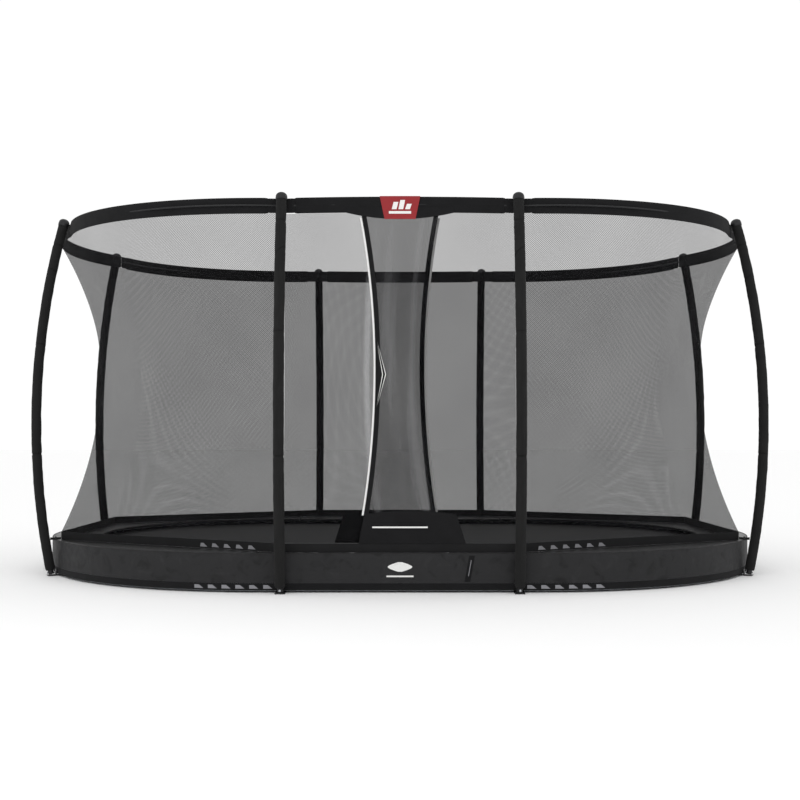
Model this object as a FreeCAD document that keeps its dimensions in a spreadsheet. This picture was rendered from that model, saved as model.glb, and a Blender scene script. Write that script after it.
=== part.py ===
import FreeCAD, Part
import math
import os
import Sketcher

# Oval ground-level trampoline with a safety net on eight curved poles.
# Frame: origin on the ground under the middle, +Z up, X along the length, entrance at -Y.
# Every ring is two straight sides joined by half-circle ends, so each piece is placed by
# an end centre (or a point on the long axis), a compass direction and a reach from it.

V = FreeCAD.Vector
UP = V(0, 0, 1)
doc = FreeCAD.newDocument("Trampoline")
nodes = []

# ---------------------------------------------------------------- driving sizes, in mm
SIZES = [
    ("straight_half", "900", "half length of the straight sides"),
    ("ring_radius", "1700", "end radius of both steel rings, to the tube centre"),
    ("frame_tube_dia", "42", "upper ring tube"),
    ("frame_tube_wall", "2.5", ""),
    ("frame_level", "205", "height of the upper ring's tube centre"),
    ("ground_tube_dia", "40", "ground ring tube"),
    ("upright_dia", "32", "short posts between the rings"),
    ("coupling_length", "90", "sockets over the tube joints"),
    ("coupling_wall", "1", ""),
    ("coupling_gap", "1", "room round the bent tubes in their sockets"),
    ("cover_gap", "3", "from the upper ring to the cloth cover"),
    ("cloth_thick", "2", "skirt and lower band"),
    ("band_foot", "16", "height of the lower band's bottom edge"),
    ("band_height", "44", ""),
    ("cloth_gap", "0.5", "between neighbouring cloth pieces"),
    ("pad_width", "365", ""),
    ("pad_thick", "20", ""),
    ("pad_gap", "4", "from the upper ring up to the pad"),
    ("mat_inset", "235", "from the upper ring to the mat's edge"),
    ("mat_drop", "7", "underside of the jump mat below the upper ring's centre"),
    ("mat_thick", "4", ""),
    ("webbing_width", "45", "webbing along the mat's edge"),
    ("webbing_thick", "2.2", ""),
    ("webbing_inset", "6", "from the mat's edge"),
    ("sewn_gap", "0.3", "between pieces sewn or pulled onto each other"),
    ("eye_radius", "12", "steel rings sewn into the mat's edge"),
    ("eye_wire", "5", ""),
    ("eye_reach", "11", "from the mat's edge to a steel ring's centre"),
    ("springs_per_side", "14", ""),
    ("springs_per_end", "38", ""),
    ("coil_dia", "22", ""),
    ("hook_wire", "5", ""),
    ("hook_length", "22", "straight wire at each end of a spring"),
    ("hook_drop", "20", "how far a spring's hook reaches down"),
    ("spring_lift", "9.5", "spring axis above the upper ring's centre"),
    ("tab_length", "24", "welded plates that hold the springs"),
    ("tab_width", "24", ""),
    ("tab_thick", "4", ""),
    ("tab_hole_dia", "9", ""),
    ("tab_hole_inset", "15", "from the tube to the hole"),
    ("tab_gap", "0.1", "from the tube to a plate"),
    ("pole_front_inset", "150", "front and rear poles, from the ends of the straight sides"),
    ("pole_side_angle", "27.3", "end poles, off the long axis"),
    ("pole_tube_dia", "38", ""),
    ("pole_tube_wall", "2", ""),
    ("pole_sleeve_dia", "70", "foam and cloth round a pole"),
    ("pole_gap", "3", "from the skirt to a pole's sleeve"),
    ("pole_foot_level", "12", ""),
    ("pole_height", "2490", "rise from foot to tip"),
    ("pole_lean", "90", "how far the tip stands inside the foot"),
    ("pole_bow", "144", "how far the middle bows outwards"),
    ("sleeve_start", "30", "bare tube at a pole's foot"),
    ("cap_thick", "2.5", "cap round the top of a sleeve"),
    ("cap_skirt", "26", ""),
    ("cap_dome", "27", "rise of the rounded top"),
    ("plate_thick", "6", "foot plates"),
    ("plate_width", "64", ""),
    ("plate_overhang", "26", "foot plate beyond the pole and the ring"),
    ("ear_height", "44", ""),
    ("ear_width", "40", ""),
    ("ear_gap", "2", "from the skirt to the upright ear"),
    ("foot_bolt_dia", "8", ""),
    ("foot_bolt_level", "22", ""),
    ("foot_bolt_head", "13", "across the flats"),
    ("foot_bolt_crown", "5.2", "thickness of the head"),
    ("border_height", "57", "webbing along the net's lower edge"),
    ("border_thick", "4", ""),
    ("border_inset", "30", "net corners inside the pad's outer edge"),
    ("border_gap", "1", "over the pad"),
    ("strap_width", "28", "straps from the net to the poles"),
    ("strap_thick", "3", ""),
    ("strap_gap", "0.5", "from a pole's sleeve"),
    ("net_thick", "2", ""),
    ("net_to_band", "4", "clear height under the padded band"),
    ("net_end_gap", "3", "between neighbouring net panels"),
    ("pull_front_corner", "140", "how far the net is drawn in at half height"),
    ("pull_side_corner", "240", ""),
    ("pull_front", "40", ""),
    ("pull_shoulder", "150", ""),
    ("pull_end", "270", ""),
    ("band_rise", "2", "padded band over the poles' tips"),
    ("band_tall", "104", ""),
    ("band_to_pole", "2", ""),
    ("band_bulge", "44", "how far the band bows out between poles"),
    ("band_stop", "80", "padded band ends this far from a pole"),
    ("cuff_tall", "92", "thin cuffs beside the poles"),
    ("rod_dia", "12", "fibreglass rods inside the band"),
    ("rod_gap", "0.4", ""),
    ("band_wall", "1.6", "padding beside a rod"),
    ("cuff_wall", "1.1", "cloth beside a rod"),
    ("visor_width", "680", "dropped middle of the front band"),
    ("visor_drop", "42", ""),
    ("badge_top_width", "257", ""),
    ("badge_foot_width", "196", ""),
    ("badge_tall", "146", ""),
    ("badge_thick", "2", ""),
    ("edge_top_x", "242", "loose edges of the entrance flaps"),
    ("edge_middle_x", "157", ""),
    ("edge_middle_share", "0.542", "level of the edges' waist, as a share of the poles"),
    ("edge_kick_x", "230", ""),
    ("edge_foot_x", "262", ""),
    ("hinge_foot_x", "420", "lower end of the line that a flap folds on"),
    ("fold_gap", "1.5", ""),
    ("layer_gap", "24", "between the two net layers of the entrance"),
    ("tape_width", "30", ""),
    ("tape_thick", "1.5", ""),
    ("piping_dia", "9", ""),
    ("kick_level", "490", "top corners of the foot panels"),
    ("kick_crown", "26", ""),
    ("tag_rise", "28", "middle of the pull tag over the edges' waist"),
    ("tag_inset", "4", "from the loose edge"),
    ("tag_tall", "440", ""),
    ("tag_width", "84", ""),
]
DERIVED = [
    ("mat_radius", "=ring_radius - mat_inset"),
    ("mat_level", "=frame_level - mat_drop"),
    ("pole_front_x", "=straight_half - pole_front_inset"),
    ("cover_radius", "=ring_radius + frame_tube_dia / 2 + cover_gap"),
    ("skirt_foot", "=band_foot + band_height + cloth_gap"),
    ("pad_level", "=frame_level + frame_tube_dia / 2 + pad_gap"),
    ("pad_top", "=pad_level + pad_thick"),
    ("pad_outer", "=cover_radius - cloth_gap"),
    ("ground_tube_lift", "=plate_thick + coupling_gap + coupling_wall + sewn_gap"),
    ("ground_level", "=ground_tube_lift + ground_tube_dia / 2"),
    ("pole_foot", "=cover_radius + cloth_thick + pole_gap + pole_sleeve_dia / 2"),
    ("pole_chord", "=sqrt(pole_height * pole_height + pole_lean * pole_lean)"),
    ("pole_arc", "=(pole_chord * pole_chord / 4 + pole_bow * pole_bow) / (2 * pole_bow)"),
    ("pole_half_angle", "=asin(pole_chord / 2 / pole_arc)"),
    ("pole_tilt", "=atan(pole_lean / pole_height)"),
    ("pole_centre_reach", "=pole_foot - pole_lean / 2 - (pole_arc - pole_bow) * cos(pole_tilt)"),
    ("pole_centre_level", "=pole_foot_level + pole_height / 2 - (pole_arc - pole_bow) * sin(pole_tilt)"),
    ("sleeve_trim", "=atan(sleeve_start / pole_arc)"),
    ("band_thick", "=rod_dia + 2 * rod_gap + 2 * band_wall"),
    ("cuff_thick", "=rod_dia + 2 * rod_gap + 2 * cuff_wall"),
    ("band_top", "=pole_foot_level + pole_height + band_rise"),
    ("net_top", "=band_top - band_tall - net_to_band"),
    ("edge_middle_level", "=pole_height * edge_middle_share"),
    ("tag_level", "=edge_middle_level + tag_rise"),
]

sheet = doc.addObject("Spreadsheet::Sheet", "Sizes")
for row, (alias, text, note) in enumerate(SIZES + [(name, text, "") for name, text in DERIVED], start=1):
    sheet.set(f"A{row}", note)
    sheet.set(f"B{row}", text)
    sheet.setAlias(f"B{row}", alias)
doc.recompute()


def size(name):
    """A size from the sheet as a plain number."""
    cell = sheet.get(name)
    return float(getattr(cell, "Value", cell))


# ---------------------------------------------------------------- sketched bodies
def origin_feature(body, role):
    return next(item for item in body.Origin.OriginFeatures if item.Role == role)


def new_sketch(body, role):
    sketch = body.newObject("Sketcher::SketchObject", body.Label + "_sketch")
    sketch.AttachmentSupport = [(origin_feature(body, role), "")]
    sketch.MapMode = "FlatFace"
    return sketch


def bind(sketch, constraint, name, expression):
    """Adds a constraint and ties its value to the sheet."""
    index = sketch.addConstraint(constraint)
    sketch.renameConstraint(index, name)
    sketch.setExpression("Constraints." + name, expression)


def draw_tube(sketch, reach, level, outer, inner):
    """Two circles round one centre."""
    rings = [sketch.addGeometry(Part.Circle(V(900, level[0], 0), UP, radius)) for radius in (20, 15)]
    sketch.addConstraint(Sketcher.Constraint("Coincident", rings[0], 3, rings[1], 3))
    bind(sketch, Sketcher.Constraint("DistanceX", -1, 1, rings[0], 3, 900.0), "reach", reach)
    if level[1]:
        bind(sketch, Sketcher.Constraint("DistanceY", -1, 1, rings[0], 3, level[0]), "level", level[1])
    else:
        sketch.addConstraint(Sketcher.Constraint("PointOnObject", rings[0], 3, -1))
    bind(sketch, Sketcher.Constraint("Diameter", rings[0], 40.0), "outer", outer)
    bind(sketch, Sketcher.Constraint("Diameter", rings[1], 30.0), "inner", inner)


def draw_box(sketch, near, far, low, high):
    """A rectangle between two reaches and two heights."""
    corners = [V(900, 100, 0), V(1000, 100, 0), V(1000, 200, 0), V(900, 200, 0)]
    lines = [sketch.addGeometry(Part.LineSegment(corners[i], corners[(i + 1) % 4])) for i in range(4)]
    for i in range(4):
        sketch.addConstraint(Sketcher.Constraint("Coincident", lines[i], 2, lines[(i + 1) % 4], 1))
        sketch.addConstraint(Sketcher.Constraint(("Horizontal", "Vertical")[i % 2], lines[i]))
    bind(sketch, Sketcher.Constraint("DistanceX", -1, 1, lines[0], 1, 900.0), "near", near)
    bind(sketch, Sketcher.Constraint("DistanceX", -1, 1, lines[0], 2, 1000.0), "far", far)
    bind(sketch, Sketcher.Constraint("DistanceY", -1, 1, lines[0], 1, 100.0), "low", low)
    bind(sketch, Sketcher.Constraint("DistanceY", -1, 1, lines[2], 1, 200.0), "high", high)


def tube_profile(reach, level, outer, wall):
    return lambda sketch: draw_tube(sketch, reach, (100.0, level), outer, f"{outer} - 2 * {wall}")


def box_profile(near, far, low, high):
    return lambda sketch: draw_box(sketch, near, far, low, high)


def placed(x, y, z, azimuth):
    return f"placement(vector({x}; {y}; {z}); rotation(vector(0; 0; 1); {azimuth}))"


def arc_body(label, profile, azimuth, angle, end):
    """A profile swept round one end centre; end is +1 or -1."""
    body = doc.addObject("PartDesign::Body", label)
    body.Label = label
    sketch = new_sketch(body, "XZ_Plane")
    profile(sketch)
    sweep = body.newObject("PartDesign::Revolution", label + "_sweep")
    sweep.Profile = (sketch, [""])
    sweep.ReferenceAxis = (origin_feature(body, "Z_Axis"), [""])
    sweep.Midplane = True
    sweep.setExpression("Angle", angle)
    body.setExpression("Placement", placed(f"{end} * Sizes.straight_half", "0", "0", azimuth))
    return body


def side_body(label, profile, azimuth):
    """A profile drawn along one straight side."""
    body = doc.addObject("PartDesign::Body", label)
    body.Label = label
    sketch = new_sketch(body, "XZ_Plane")
    profile(sketch)
    run = body.newObject("PartDesign::Pad", label + "_run")
    run.Profile = (sketch, [""])
    run.Midplane = True
    run.setExpression("Length", "2 * Sizes.straight_half")
    body.setExpression("Placement", placed("0", "0", "0", azimuth))
    return body


def joined(label, members):
    """One named node from several separate solids."""
    node = doc.addObject("Part::Compound", label)
    node.Label = label
    node.Links = members
    nodes.append(node)
    return node


def feature(label, shapes):
    """One named node whose shape is set directly; several shapes stay separate solids."""
    node = doc.addObject("Part::Feature", label)
    node.Label = label
    node.Shape = shapes[0] if len(shapes) == 1 else Part.Compound(shapes)
    nodes.append(node)
    return node


# ---------------------------------------------------------------- steel rings
SIDE = "Sizes.pole_side_angle"
SHOULDER_MIDDLE = f"(90 + {SIDE}) / 2"
SHOULDER_ANGLE = f"90 - {SIDE}"


def ring_tubes(label, level, outer, wall):
    """Eight tubes: two straight, two round the ends and four shoulders, joined at the end poles."""
    profile = tube_profile("Sizes.ring_radius", level, outer, wall)
    tubes = [side_body(f"{label}_front", profile, "-90"), side_body(f"{label}_rear", profile, "90")]
    for name, end, turn in (("right", 1, "0"), ("left", -1, "180")):
        tubes.append(arc_body(f"{label}_{name}", profile, turn, f"2 * {SIDE}", end))
        for place, sign in (("before", "-"), ("after", "+")):
            azimuth = f"{turn} {sign} {SHOULDER_MIDDLE}"
            tubes.append(arc_body(f"{label}_{name}_{place}", profile, azimuth, SHOULDER_ANGLE, end))
    return joined(label, tubes)


ring_tubes("frame_ring_tubes", "Sizes.frame_level", "Sizes.frame_tube_dia", "Sizes.frame_tube_wall")
ring_tubes("ground_ring_tubes", "Sizes.ground_level", "Sizes.ground_tube_dia", "Sizes.frame_tube_wall")


def from_axis(x, azimuth):
    """Turns a shape drawn along +X to point at azimuth from a point on the long axis."""
    return FreeCAD.Placement(V(x, 0, 0), FreeCAD.Rotation(UP, azimuth))


def copies(shape, spots):
    return [shape.transformed(from_axis(x, azimuth).Matrix, True) for x, azimuth in spots]


straight = size("straight_half")
sewn_gap = size("sewn_gap")
side_angle = size("pole_side_angle")
ring_radius = size("ring_radius")
frame_level = size("frame_level")
ground_level = size("ground_level")
frame_tube_radius = size("frame_tube_dia") / 2
ground_tube_radius = size("ground_tube_dia") / 2

END_JOINTS = [(straight, -side_angle), (straight, side_angle),
              (-straight, 180 - side_angle), (-straight, 180 + side_angle)]
SIDE_JOINTS = [(end * straight, azimuth) for end in (1, -1) for azimuth in (-90, 90)]
shoulder = (90 + side_angle) / 2
SHOULDERS = [(straight, shoulder), (straight, -shoulder),
             (-straight, 180 - shoulder), (-straight, 180 + shoulder)]
MIDDLES = [(0, -90), (0, 90), (straight, 0), (-straight, 180)]



def post(trim):
    """An upright between the rings, short of both by trim."""
    foot = ground_level + ground_tube_radius + trim
    return Part.makeCylinder(size("upright_dia") / 2, frame_level - frame_tube_radius - trim - foot,
                             V(ring_radius, 0, foot))


socket_room = size("coupling_gap") + size("coupling_wall") + sewn_gap
feature("frame_uprights", copies(post(0), SIDE_JOINTS + SHOULDERS + MIDDLES) + copies(post(socket_room), END_JOINTS))

# ---------------------------------------------------------------- poles
# name, point on the long axis, azimuth, and the same two as expressions
POLES = [
    ("front_left", -size("pole_front_x"), -90, "-Sizes.pole_front_x", "-90"),
    ("front_right", size("pole_front_x"), -90, "Sizes.pole_front_x", "-90"),
    ("right_front", straight, -side_angle, "Sizes.straight_half", f"-{SIDE}"),
    ("right_rear", straight, side_angle, "Sizes.straight_half", SIDE),
    ("rear_right", size("pole_front_x"), 90, "Sizes.pole_front_x", "90"),
    ("rear_left", -size("pole_front_x"), 90, "-Sizes.pole_front_x", "90"),
    ("left_rear", -straight, 180 - side_angle, "-Sizes.straight_half", f"180 - {SIDE}"),
    ("left_front", -straight, 180 + side_angle, "-Sizes.straight_half", f"180 + {SIDE}"),
]
POLE_SPOTS = [(x, azimuth) for _, x, azimuth, _, _ in POLES]


def bowed_tube(label, x, azimuth, outer, inner, trim):
    """A tube bent to the poles' arc, short of the foot by the angle trim."""
    body = doc.addObject("PartDesign::Body", label)
    body.Label = label
    sketch = new_sketch(body, "XY_Plane")
    draw_tube(sketch, "Sizes.pole_arc", (0.0, None), outer, inner)
    bend = body.newObject("PartDesign::Revolution", label + "_bend")
    bend.Profile = (sketch, [""])
    bend.ReferenceAxis = (origin_feature(body, "Y_Axis"), [""])
    bend.Midplane = True
    bend.setExpression("Angle", f"2 * Sizes.pole_half_angle - {trim}")
    reach = "Sizes.pole_centre_reach"
    turn = f"rotation(vector(0; 0; 1); {azimuth}) * rotation(vector(0; 1; 0); -Sizes.pole_tilt - {trim} / 2)"
    body.setExpression("Placement", f"placement(vector({x} + {reach} * cos({azimuth}); "
                                    f"{reach} * sin({azimuth}); Sizes.pole_centre_level); {turn})")
    nodes.append(body)


for name, _, _, x, azimuth in POLES:
    bowed_tube(f"pole_tube_{name}", x, azimuth, "Sizes.pole_tube_dia",
               "Sizes.pole_tube_dia - 2 * Sizes.pole_tube_wall", "0 deg")
for name, _, _, x, azimuth in POLES:
    bowed_tube(f"pole_sleeve_{name}", x, azimuth, "Sizes.pole_sleeve_dia",
               "Sizes.pole_tube_dia + 2 * Sizes.sewn_gap", "Sizes.sleeve_trim")


def pole_reach(level):
    """How far a pole's centre line stands from the long axis at a height."""
    rise = level - size("pole_centre_level")
    return size("pole_centre_reach") + math.sqrt(size("pole_arc") ** 2 - rise ** 2)


pole_radius = size("pole_tube_dia") / 2
sleeve_radius = size("pole_sleeve_dia") / 2
pole_foot = size("pole_foot")
cap_radius = sleeve_radius + size("cap_thick")

tip_level = size("pole_foot_level") + size("pole_height")
tip = V(pole_foot - size("pole_lean"), 0, tip_level)
tip_inwards = math.radians(size("pole_half_angle") + size("pole_tilt"))
tip_axis = V(-math.sin(tip_inwards), 0, math.cos(tip_inwards))
cap_skirt = Part.makeCylinder(cap_radius, size("cap_skirt"), tip - tip_axis * size("cap_skirt"), tip_axis).cut(
    Part.makeCylinder(sleeve_radius + sewn_gap, size("cap_skirt"),
                      tip - tip_axis * size("cap_skirt"), tip_axis))
dome_centre = tip + tip_axis * sewn_gap
dome = Part.makeSphere(cap_radius).common(Part.makeCylinder(cap_radius, cap_radius))
flatten = FreeCAD.Matrix()
flatten.scale(1, 1, size("cap_dome") / cap_radius)
dome = dome.transformGeometry(flatten)
dome.Placement = FreeCAD.Placement(dome_centre, FreeCAD.Rotation(UP, tip_axis))
cap_collar = Part.makeCylinder(cap_radius, sewn_gap, tip, tip_axis)
cap = cap_skirt.fuse(cap_collar).fuse(dome)
feature("pole_end_caps", copies(cap, POLE_SPOTS))

plate_near = ring_radius - size("plate_overhang")
plate_far = pole_foot + size("plate_overhang")
plate_thick = size("plate_thick")
ear_near = size("cover_radius") + size("cloth_thick") + size("ear_gap")
plate = Part.makeBox(plate_far - plate_near, size("plate_width"), plate_thick,
                     V(plate_near, -size("plate_width") / 2, 0))
ear = Part.makeBox(plate_thick, size("ear_width"), size("ear_height") - plate_thick,
                   V(ear_near, -size("ear_width") / 2, plate_thick))
feature("pole_foot_plates", copies(plate.fuse(ear).removeSplitter(), POLE_SPOTS))

bolt_level = size("foot_bolt_level")
bolt_near = ear_near - size("ear_gap") / 2
head_near = pole_reach(bolt_level) + pole_radius + size("ear_gap")
along_reach = V(1, 0, 0)
shank = Part.makeCylinder(size("foot_bolt_dia") / 2, head_near - bolt_near, V(bolt_near, 0, bolt_level),
                          along_reach)
corner = size("foot_bolt_head") / math.sqrt(3)
turns = [math.radians(60 * i) for i in range(7)]
hexagon = [V(head_near, corner * math.cos(turn), bolt_level + corner * math.sin(turn)) for turn in turns]
head = Part.Face(Part.makePolygon(hexagon)).extrude(V(size("foot_bolt_crown"), 0, 0))
feature("pole_foot_bolts", copies(shank.fuse(head), POLE_SPOTS))

# ---------------------------------------------------------------- jump mat and springs
mat_radius = size("mat_radius")
mat_level = size("mat_level")
mat_top = mat_level + size("mat_thick")


def oval_face(reach, level):
    """The flat oval of one reach, at a height."""
    ends = [V(x, y * reach, level) for x, y in ((-straight, -1), (straight, -1), (straight, 1), (-straight, 1))]
    edges = [Part.LineSegment(ends[0], ends[1]).toShape(),
             Part.Arc(ends[1], V(straight + reach, 0, level), ends[2]).toShape(),
             Part.LineSegment(ends[2], ends[3]).toShape(),
             Part.Arc(ends[3], V(-straight - reach, 0, level), ends[0]).toShape()]
    return Part.Face(Part.Wire(edges))


feature("jump_mat", [oval_face(mat_radius, mat_level).extrude(UP * size("mat_thick"))])
webbing_level = mat_top + sewn_gap
webbing_edge = mat_radius - size("webbing_inset")
webbing = oval_face(webbing_edge, webbing_level).cut(oval_face(webbing_edge - size("webbing_width"), webbing_level))
feature("mat_edge_webbing", [webbing.extrude(UP * size("webbing_thick"))])

per_side = int(size("springs_per_side"))
per_end = int(size("springs_per_end"))
side_pitch = 2 * straight / per_side
SPRING_SPOTS = [(-straight + (i + 0.5) * side_pitch, azimuth)
                for azimuth in (-90, 90) for i in range(per_side)]
for end, turn in ((1, -90), (-1, 90)):
    SPRING_SPOTS += [(end * straight, turn + (i + 0.5) * 180 / per_end) for i in range(per_end)]

eye_centre = mat_radius + size("eye_reach")
wire = size("eye_wire") / 2
eye = Part.makeTorus(size("eye_radius"), wire, V(eye_centre, 0, mat_level + size("mat_thick") / 2))
feature("mat_steel_rings", copies(eye, SPRING_SPOTS))

tab_far = ring_radius - frame_tube_radius - size("tab_gap")
hole_reach = tab_far - size("tab_hole_inset")
tab = Part.makeBox(size("tab_length"), size("tab_width"), size("tab_thick"),
                   V(tab_far - size("tab_length"), -size("tab_width") / 2, frame_level - size("tab_thick") / 2))
tab = tab.cut(Part.makeCylinder(size("tab_hole_dia") / 2, 3 * size("tab_thick"),
                                V(hole_reach, 0, frame_level - 1.5 * size("tab_thick"))))
tabs = copies(tab, SPRING_SPOTS)
feature("spring_tabs", tabs)


def coupling(tube_radius, level):
    """A socket over the joint between two tubes."""
    length = size("coupling_length")
    inner = tube_radius + size("coupling_gap")
    foot = V(ring_radius, -length / 2, level)
    along = V(0, 1, 0)
    return Part.makeCylinder(inner + size("coupling_wall"), length, foot, along).cut(
        Part.makeCylinder(inner, length, foot, along))


# the upper sockets are notched round the plates that they meet
notch = Part.makeBox(size("tab_length"), size("tab_width") + 2 * sewn_gap, size("tab_thick") + 2 * sewn_gap,
                     V(tab_far + sewn_gap - size("tab_length"), -size("tab_width") / 2 - sewn_gap,
                       frame_level - size("tab_thick") / 2 - sewn_gap))
notches = Part.Compound(copies(notch, SPRING_SPOTS))
feature("tube_couplings",
        [socket.cut(notches) for socket in copies(coupling(frame_tube_radius, frame_level), END_JOINTS)]
        + copies(coupling(ground_tube_radius, ground_level), END_JOINTS))

hook_radius = size("hook_wire") / 2
spring_level = frame_level + size("spring_lift")
inner_hook = eye_centre + size("eye_radius") - wire - hook_radius - 3 * sewn_gap
hook_length = size("hook_length")
coil = Part.makeCylinder(size("coil_dia") / 2, hole_reach - inner_hook - 2 * hook_length,
                         V(inner_hook + hook_length, 0, spring_level), along_reach)
rod = Part.makeCylinder(hook_radius, hole_reach - inner_hook, V(inner_hook, 0, spring_level), along_reach)
spring = coil.fuse(rod)
for reach in (inner_hook, hole_reach):
    elbow = Part.makeSphere(hook_radius, V(reach, 0, spring_level))
    prong = Part.makeCylinder(hook_radius, size("hook_drop"), V(reach, 0, spring_level - size("hook_drop")))
    spring = spring.fuse(elbow).fuse(prong)
feature("springs", copies(spring, SPRING_SPOTS))

# ---------------------------------------------------------------- edge pad, skirt, lower band
PAD = box_profile("Sizes.pad_outer - Sizes.pad_width", "Sizes.pad_outer", "Sizes.pad_level", "Sizes.pad_top")
for name, azimuth in (("front", "-90"), ("rear", "90")):
    nodes.append(side_body(f"edge_pad_{name}", PAD, azimuth))
for name, end, azimuth in (("right_front", 1, "-45"), ("right_rear", 1, "45"),
                           ("left_rear", -1, "135"), ("left_front", -1, "-135")):
    nodes.append(arc_body(f"edge_pad_{name}", PAD, azimuth, "90", end))


def cloth_ring(label, low, high):
    """A thin cover round the outside: two straight runs and two half circles."""
    profile = box_profile("Sizes.cover_radius", "Sizes.cover_radius + Sizes.cloth_thick", low, high)
    runs = [side_body(f"{label}_front", profile, "-90"), side_body(f"{label}_rear", profile, "90")]
    for name, end, turn in (("right", 1, 0), ("left", -1, 180)):
        for place, swing in (("before", -45), ("after", 45)):
            runs.append(arc_body(f"{label}_{name}_{place}", profile, str(turn + swing), "90", end))
    return joined(label, runs)


cloth_ring("pad_skirt", "Sizes.skirt_foot", "Sizes.pad_top")
cloth_ring("lower_band", "Sizes.band_foot", "Sizes.band_foot + Sizes.band_height")

# ---------------------------------------------------------------- net band and its rods
band_top = size("band_top")
band_foot_level = band_top - size("band_tall")
band_middle = band_top - size("band_tall") / 2
half_band = size("band_thick") / 2
half_cuff = size("cuff_thick") / 2
band_reach = tip.x - cap_radius - size("band_to_pole") - half_band
# spans between neighbouring poles, anticlockwise: name, point on the long axis, azimuth, net pull
SPANS = [
    ("front", 0, -90, "pull_front"),
    ("front_right", straight, -shoulder, "pull_shoulder"),
    ("right", straight, 0, "pull_end"),
    ("rear_right", straight, shoulder, "pull_shoulder"),
    ("rear", 0, 90, "pull_front"),
    ("rear_left", -straight, 180 - shoulder, "pull_shoulder"),
    ("left", -straight, 180, "pull_end"),
    ("front_left", -straight, 180 + shoulder, "pull_shoulder"),
]


def heading(azimuth):
    return V(math.cos(math.radians(azimuth)), math.sin(math.radians(azimuth)), 0)


def spot(x, azimuth, reach, level):
    """The point at a reach from the long axis."""
    return V(x, 0, level) + heading(azimuth) * reach


def band_points(index, level):
    """Start, middle and end of the band's centre line over one span."""
    _, x, azimuth, _ = SPANS[index]
    start = spot(*POLE_SPOTS[index], band_reach, level)
    finish = spot(*POLE_SPOTS[(index + 1) % 8], band_reach, level)
    return start, spot(x, azimuth, band_reach + size("band_bulge"), level), finish


def band_sweep(index, profile, start_gap, finish_gap):
    """Sweeps a profile, given by its offsets from the band's centre line and heights, along a span."""
    start, middle, finish = band_points(index, 0)
    arc = Part.Arc(start, middle, finish).toShape()
    centre = arc.Curve.Center
    radius = arc.Curve.Radius
    outwards = (start - centre).normalize()
    first = start_gap / radius
    span = (arc.Length - start_gap - finish_gap) / radius
    face = profile(centre + outwards * radius, outwards)
    face.rotate(centre, UP, math.degrees(first))
    return face.revolve(centre, UP, math.degrees(span))


def upright_face(near, far, low, high):
    """An upright rectangle across the band's centre line."""
    def build(point, outwards):
        corners = [point + outwards * reach + UP * level
                   for reach, level in ((near, low), (far, low), (far, high), (near, high), (near, low))]
        return Part.Face(Part.makePolygon(corners))
    return build


def round_face(radius):
    def build(point, outwards):
        circle = Part.Circle(point + UP * band_middle, UP.cross(outwards), radius)
        return Part.Face(Part.Wire(circle.toShape()))
    return build


cuff_foot = band_middle - size("cuff_tall") / 2
rod_radius = size("rod_dia") / 2
band_stop = size("band_stop")
end_gap = size("net_end_gap")
rod_ends = end_gap - 1
channels = [band_sweep(i, round_face(rod_radius + size("rod_gap")), 0, 0) for i in range(8)]
feature("net_band_rods", [band_sweep(i, round_face(rod_radius), rod_ends, rod_ends) for i in range(8)])
feature("net_band", [band_sweep(i, upright_face(-half_band, half_band, band_foot_level, band_top),
                                band_stop, band_stop).cut(channels[i]) for i in range(8)])
cuffs = []
for i in range(8):
    start, middle, finish = band_points(i, 0)
    rest = Part.Arc(start, middle, finish).toShape().Length - band_stop + size("cloth_gap")
    section = upright_face(-half_cuff, half_cuff, cuff_foot, cuff_foot + size("cuff_tall"))
    for start_gap, finish_gap in ((end_gap, rest), (rest, end_gap)):
        cuffs.append(band_sweep(i, section, start_gap, finish_gap).cut(channels[i]))
feature("net_band_cuffs", cuffs)

# ---------------------------------------------------------------- safety net
border_reach = size("pad_outer") - size("border_inset")
border_foot = size("pad_top") + size("border_gap")
net_foot = border_foot + size("border_height") + size("cloth_gap")
net_top = size("net_top")
CORNER_PULLS = [size("pull_front_corner") if abs(abs(azimuth) - 90) < 1 else size("pull_side_corner")
                for _, azimuth in POLE_SPOTS]


def net_point(foot, top, inwards, pull, share):
    """A point of the net's height line: straight from foot to top, drawn inwards between them."""
    point = foot * (1 - share) + top * share
    return point + inwards * (pull * 4 * share * (1 - share))


def net_row(index, share, offset):
    """Three points of one level of a net panel, moved inwards by offset."""
    _, x, azimuth, pull = SPANS[index]
    starts = []
    for corner in (index, (index + 1) % 8):
        axis_x, turn = POLE_SPOTS[corner]
        foot = spot(axis_x, turn, border_reach, net_foot)
        top = spot(axis_x, turn, band_reach, net_top)
        starts.append(net_point(foot, top, heading(turn) * -1, CORNER_PULLS[corner], share))
    foot_left, foot_right = [spot(*POLE_SPOTS[corner], border_reach, net_foot)
                             for corner in (index, (index + 1) % 8)]
    middle = net_point((foot_left + foot_right) / 2, spot(x, azimuth, band_reach + size("band_bulge"), net_top),
                       heading(azimuth) * -1, size(pull), share)
    along = (starts[1] - starts[0]).normalize() * end_gap
    shift = heading(azimuth) * -offset
    return [starts[0] + along + shift, middle + shift, starts[1] - along + shift]


def net_sheet(index, near, far):
    """A net panel between two inward offsets, as a thin closed solid."""
    rows = []
    for share in (0, 0.25, 0.5, 0.75, 1):
        outer, inner = net_row(index, share, near), net_row(index, share, far)
        curves = []
        for points in (outer, inner[::-1]):
            curve = Part.BSplineCurve()
            curve.interpolate(points)
            curves.append(curve.toShape())
        rows.append(Part.Wire([curves[0], Part.LineSegment(outer[2], inner[2]).toShape(),
                               curves[1], Part.LineSegment(inner[0], outer[0]).toShape()]))
    return Part.makeLoft(rows, True, False)


net_thick = size("net_thick")
for i in range(1, 8):
    feature(f"net_panel_{SPANS[i][0]}", [net_sheet(i, 0, net_thick)])

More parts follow.
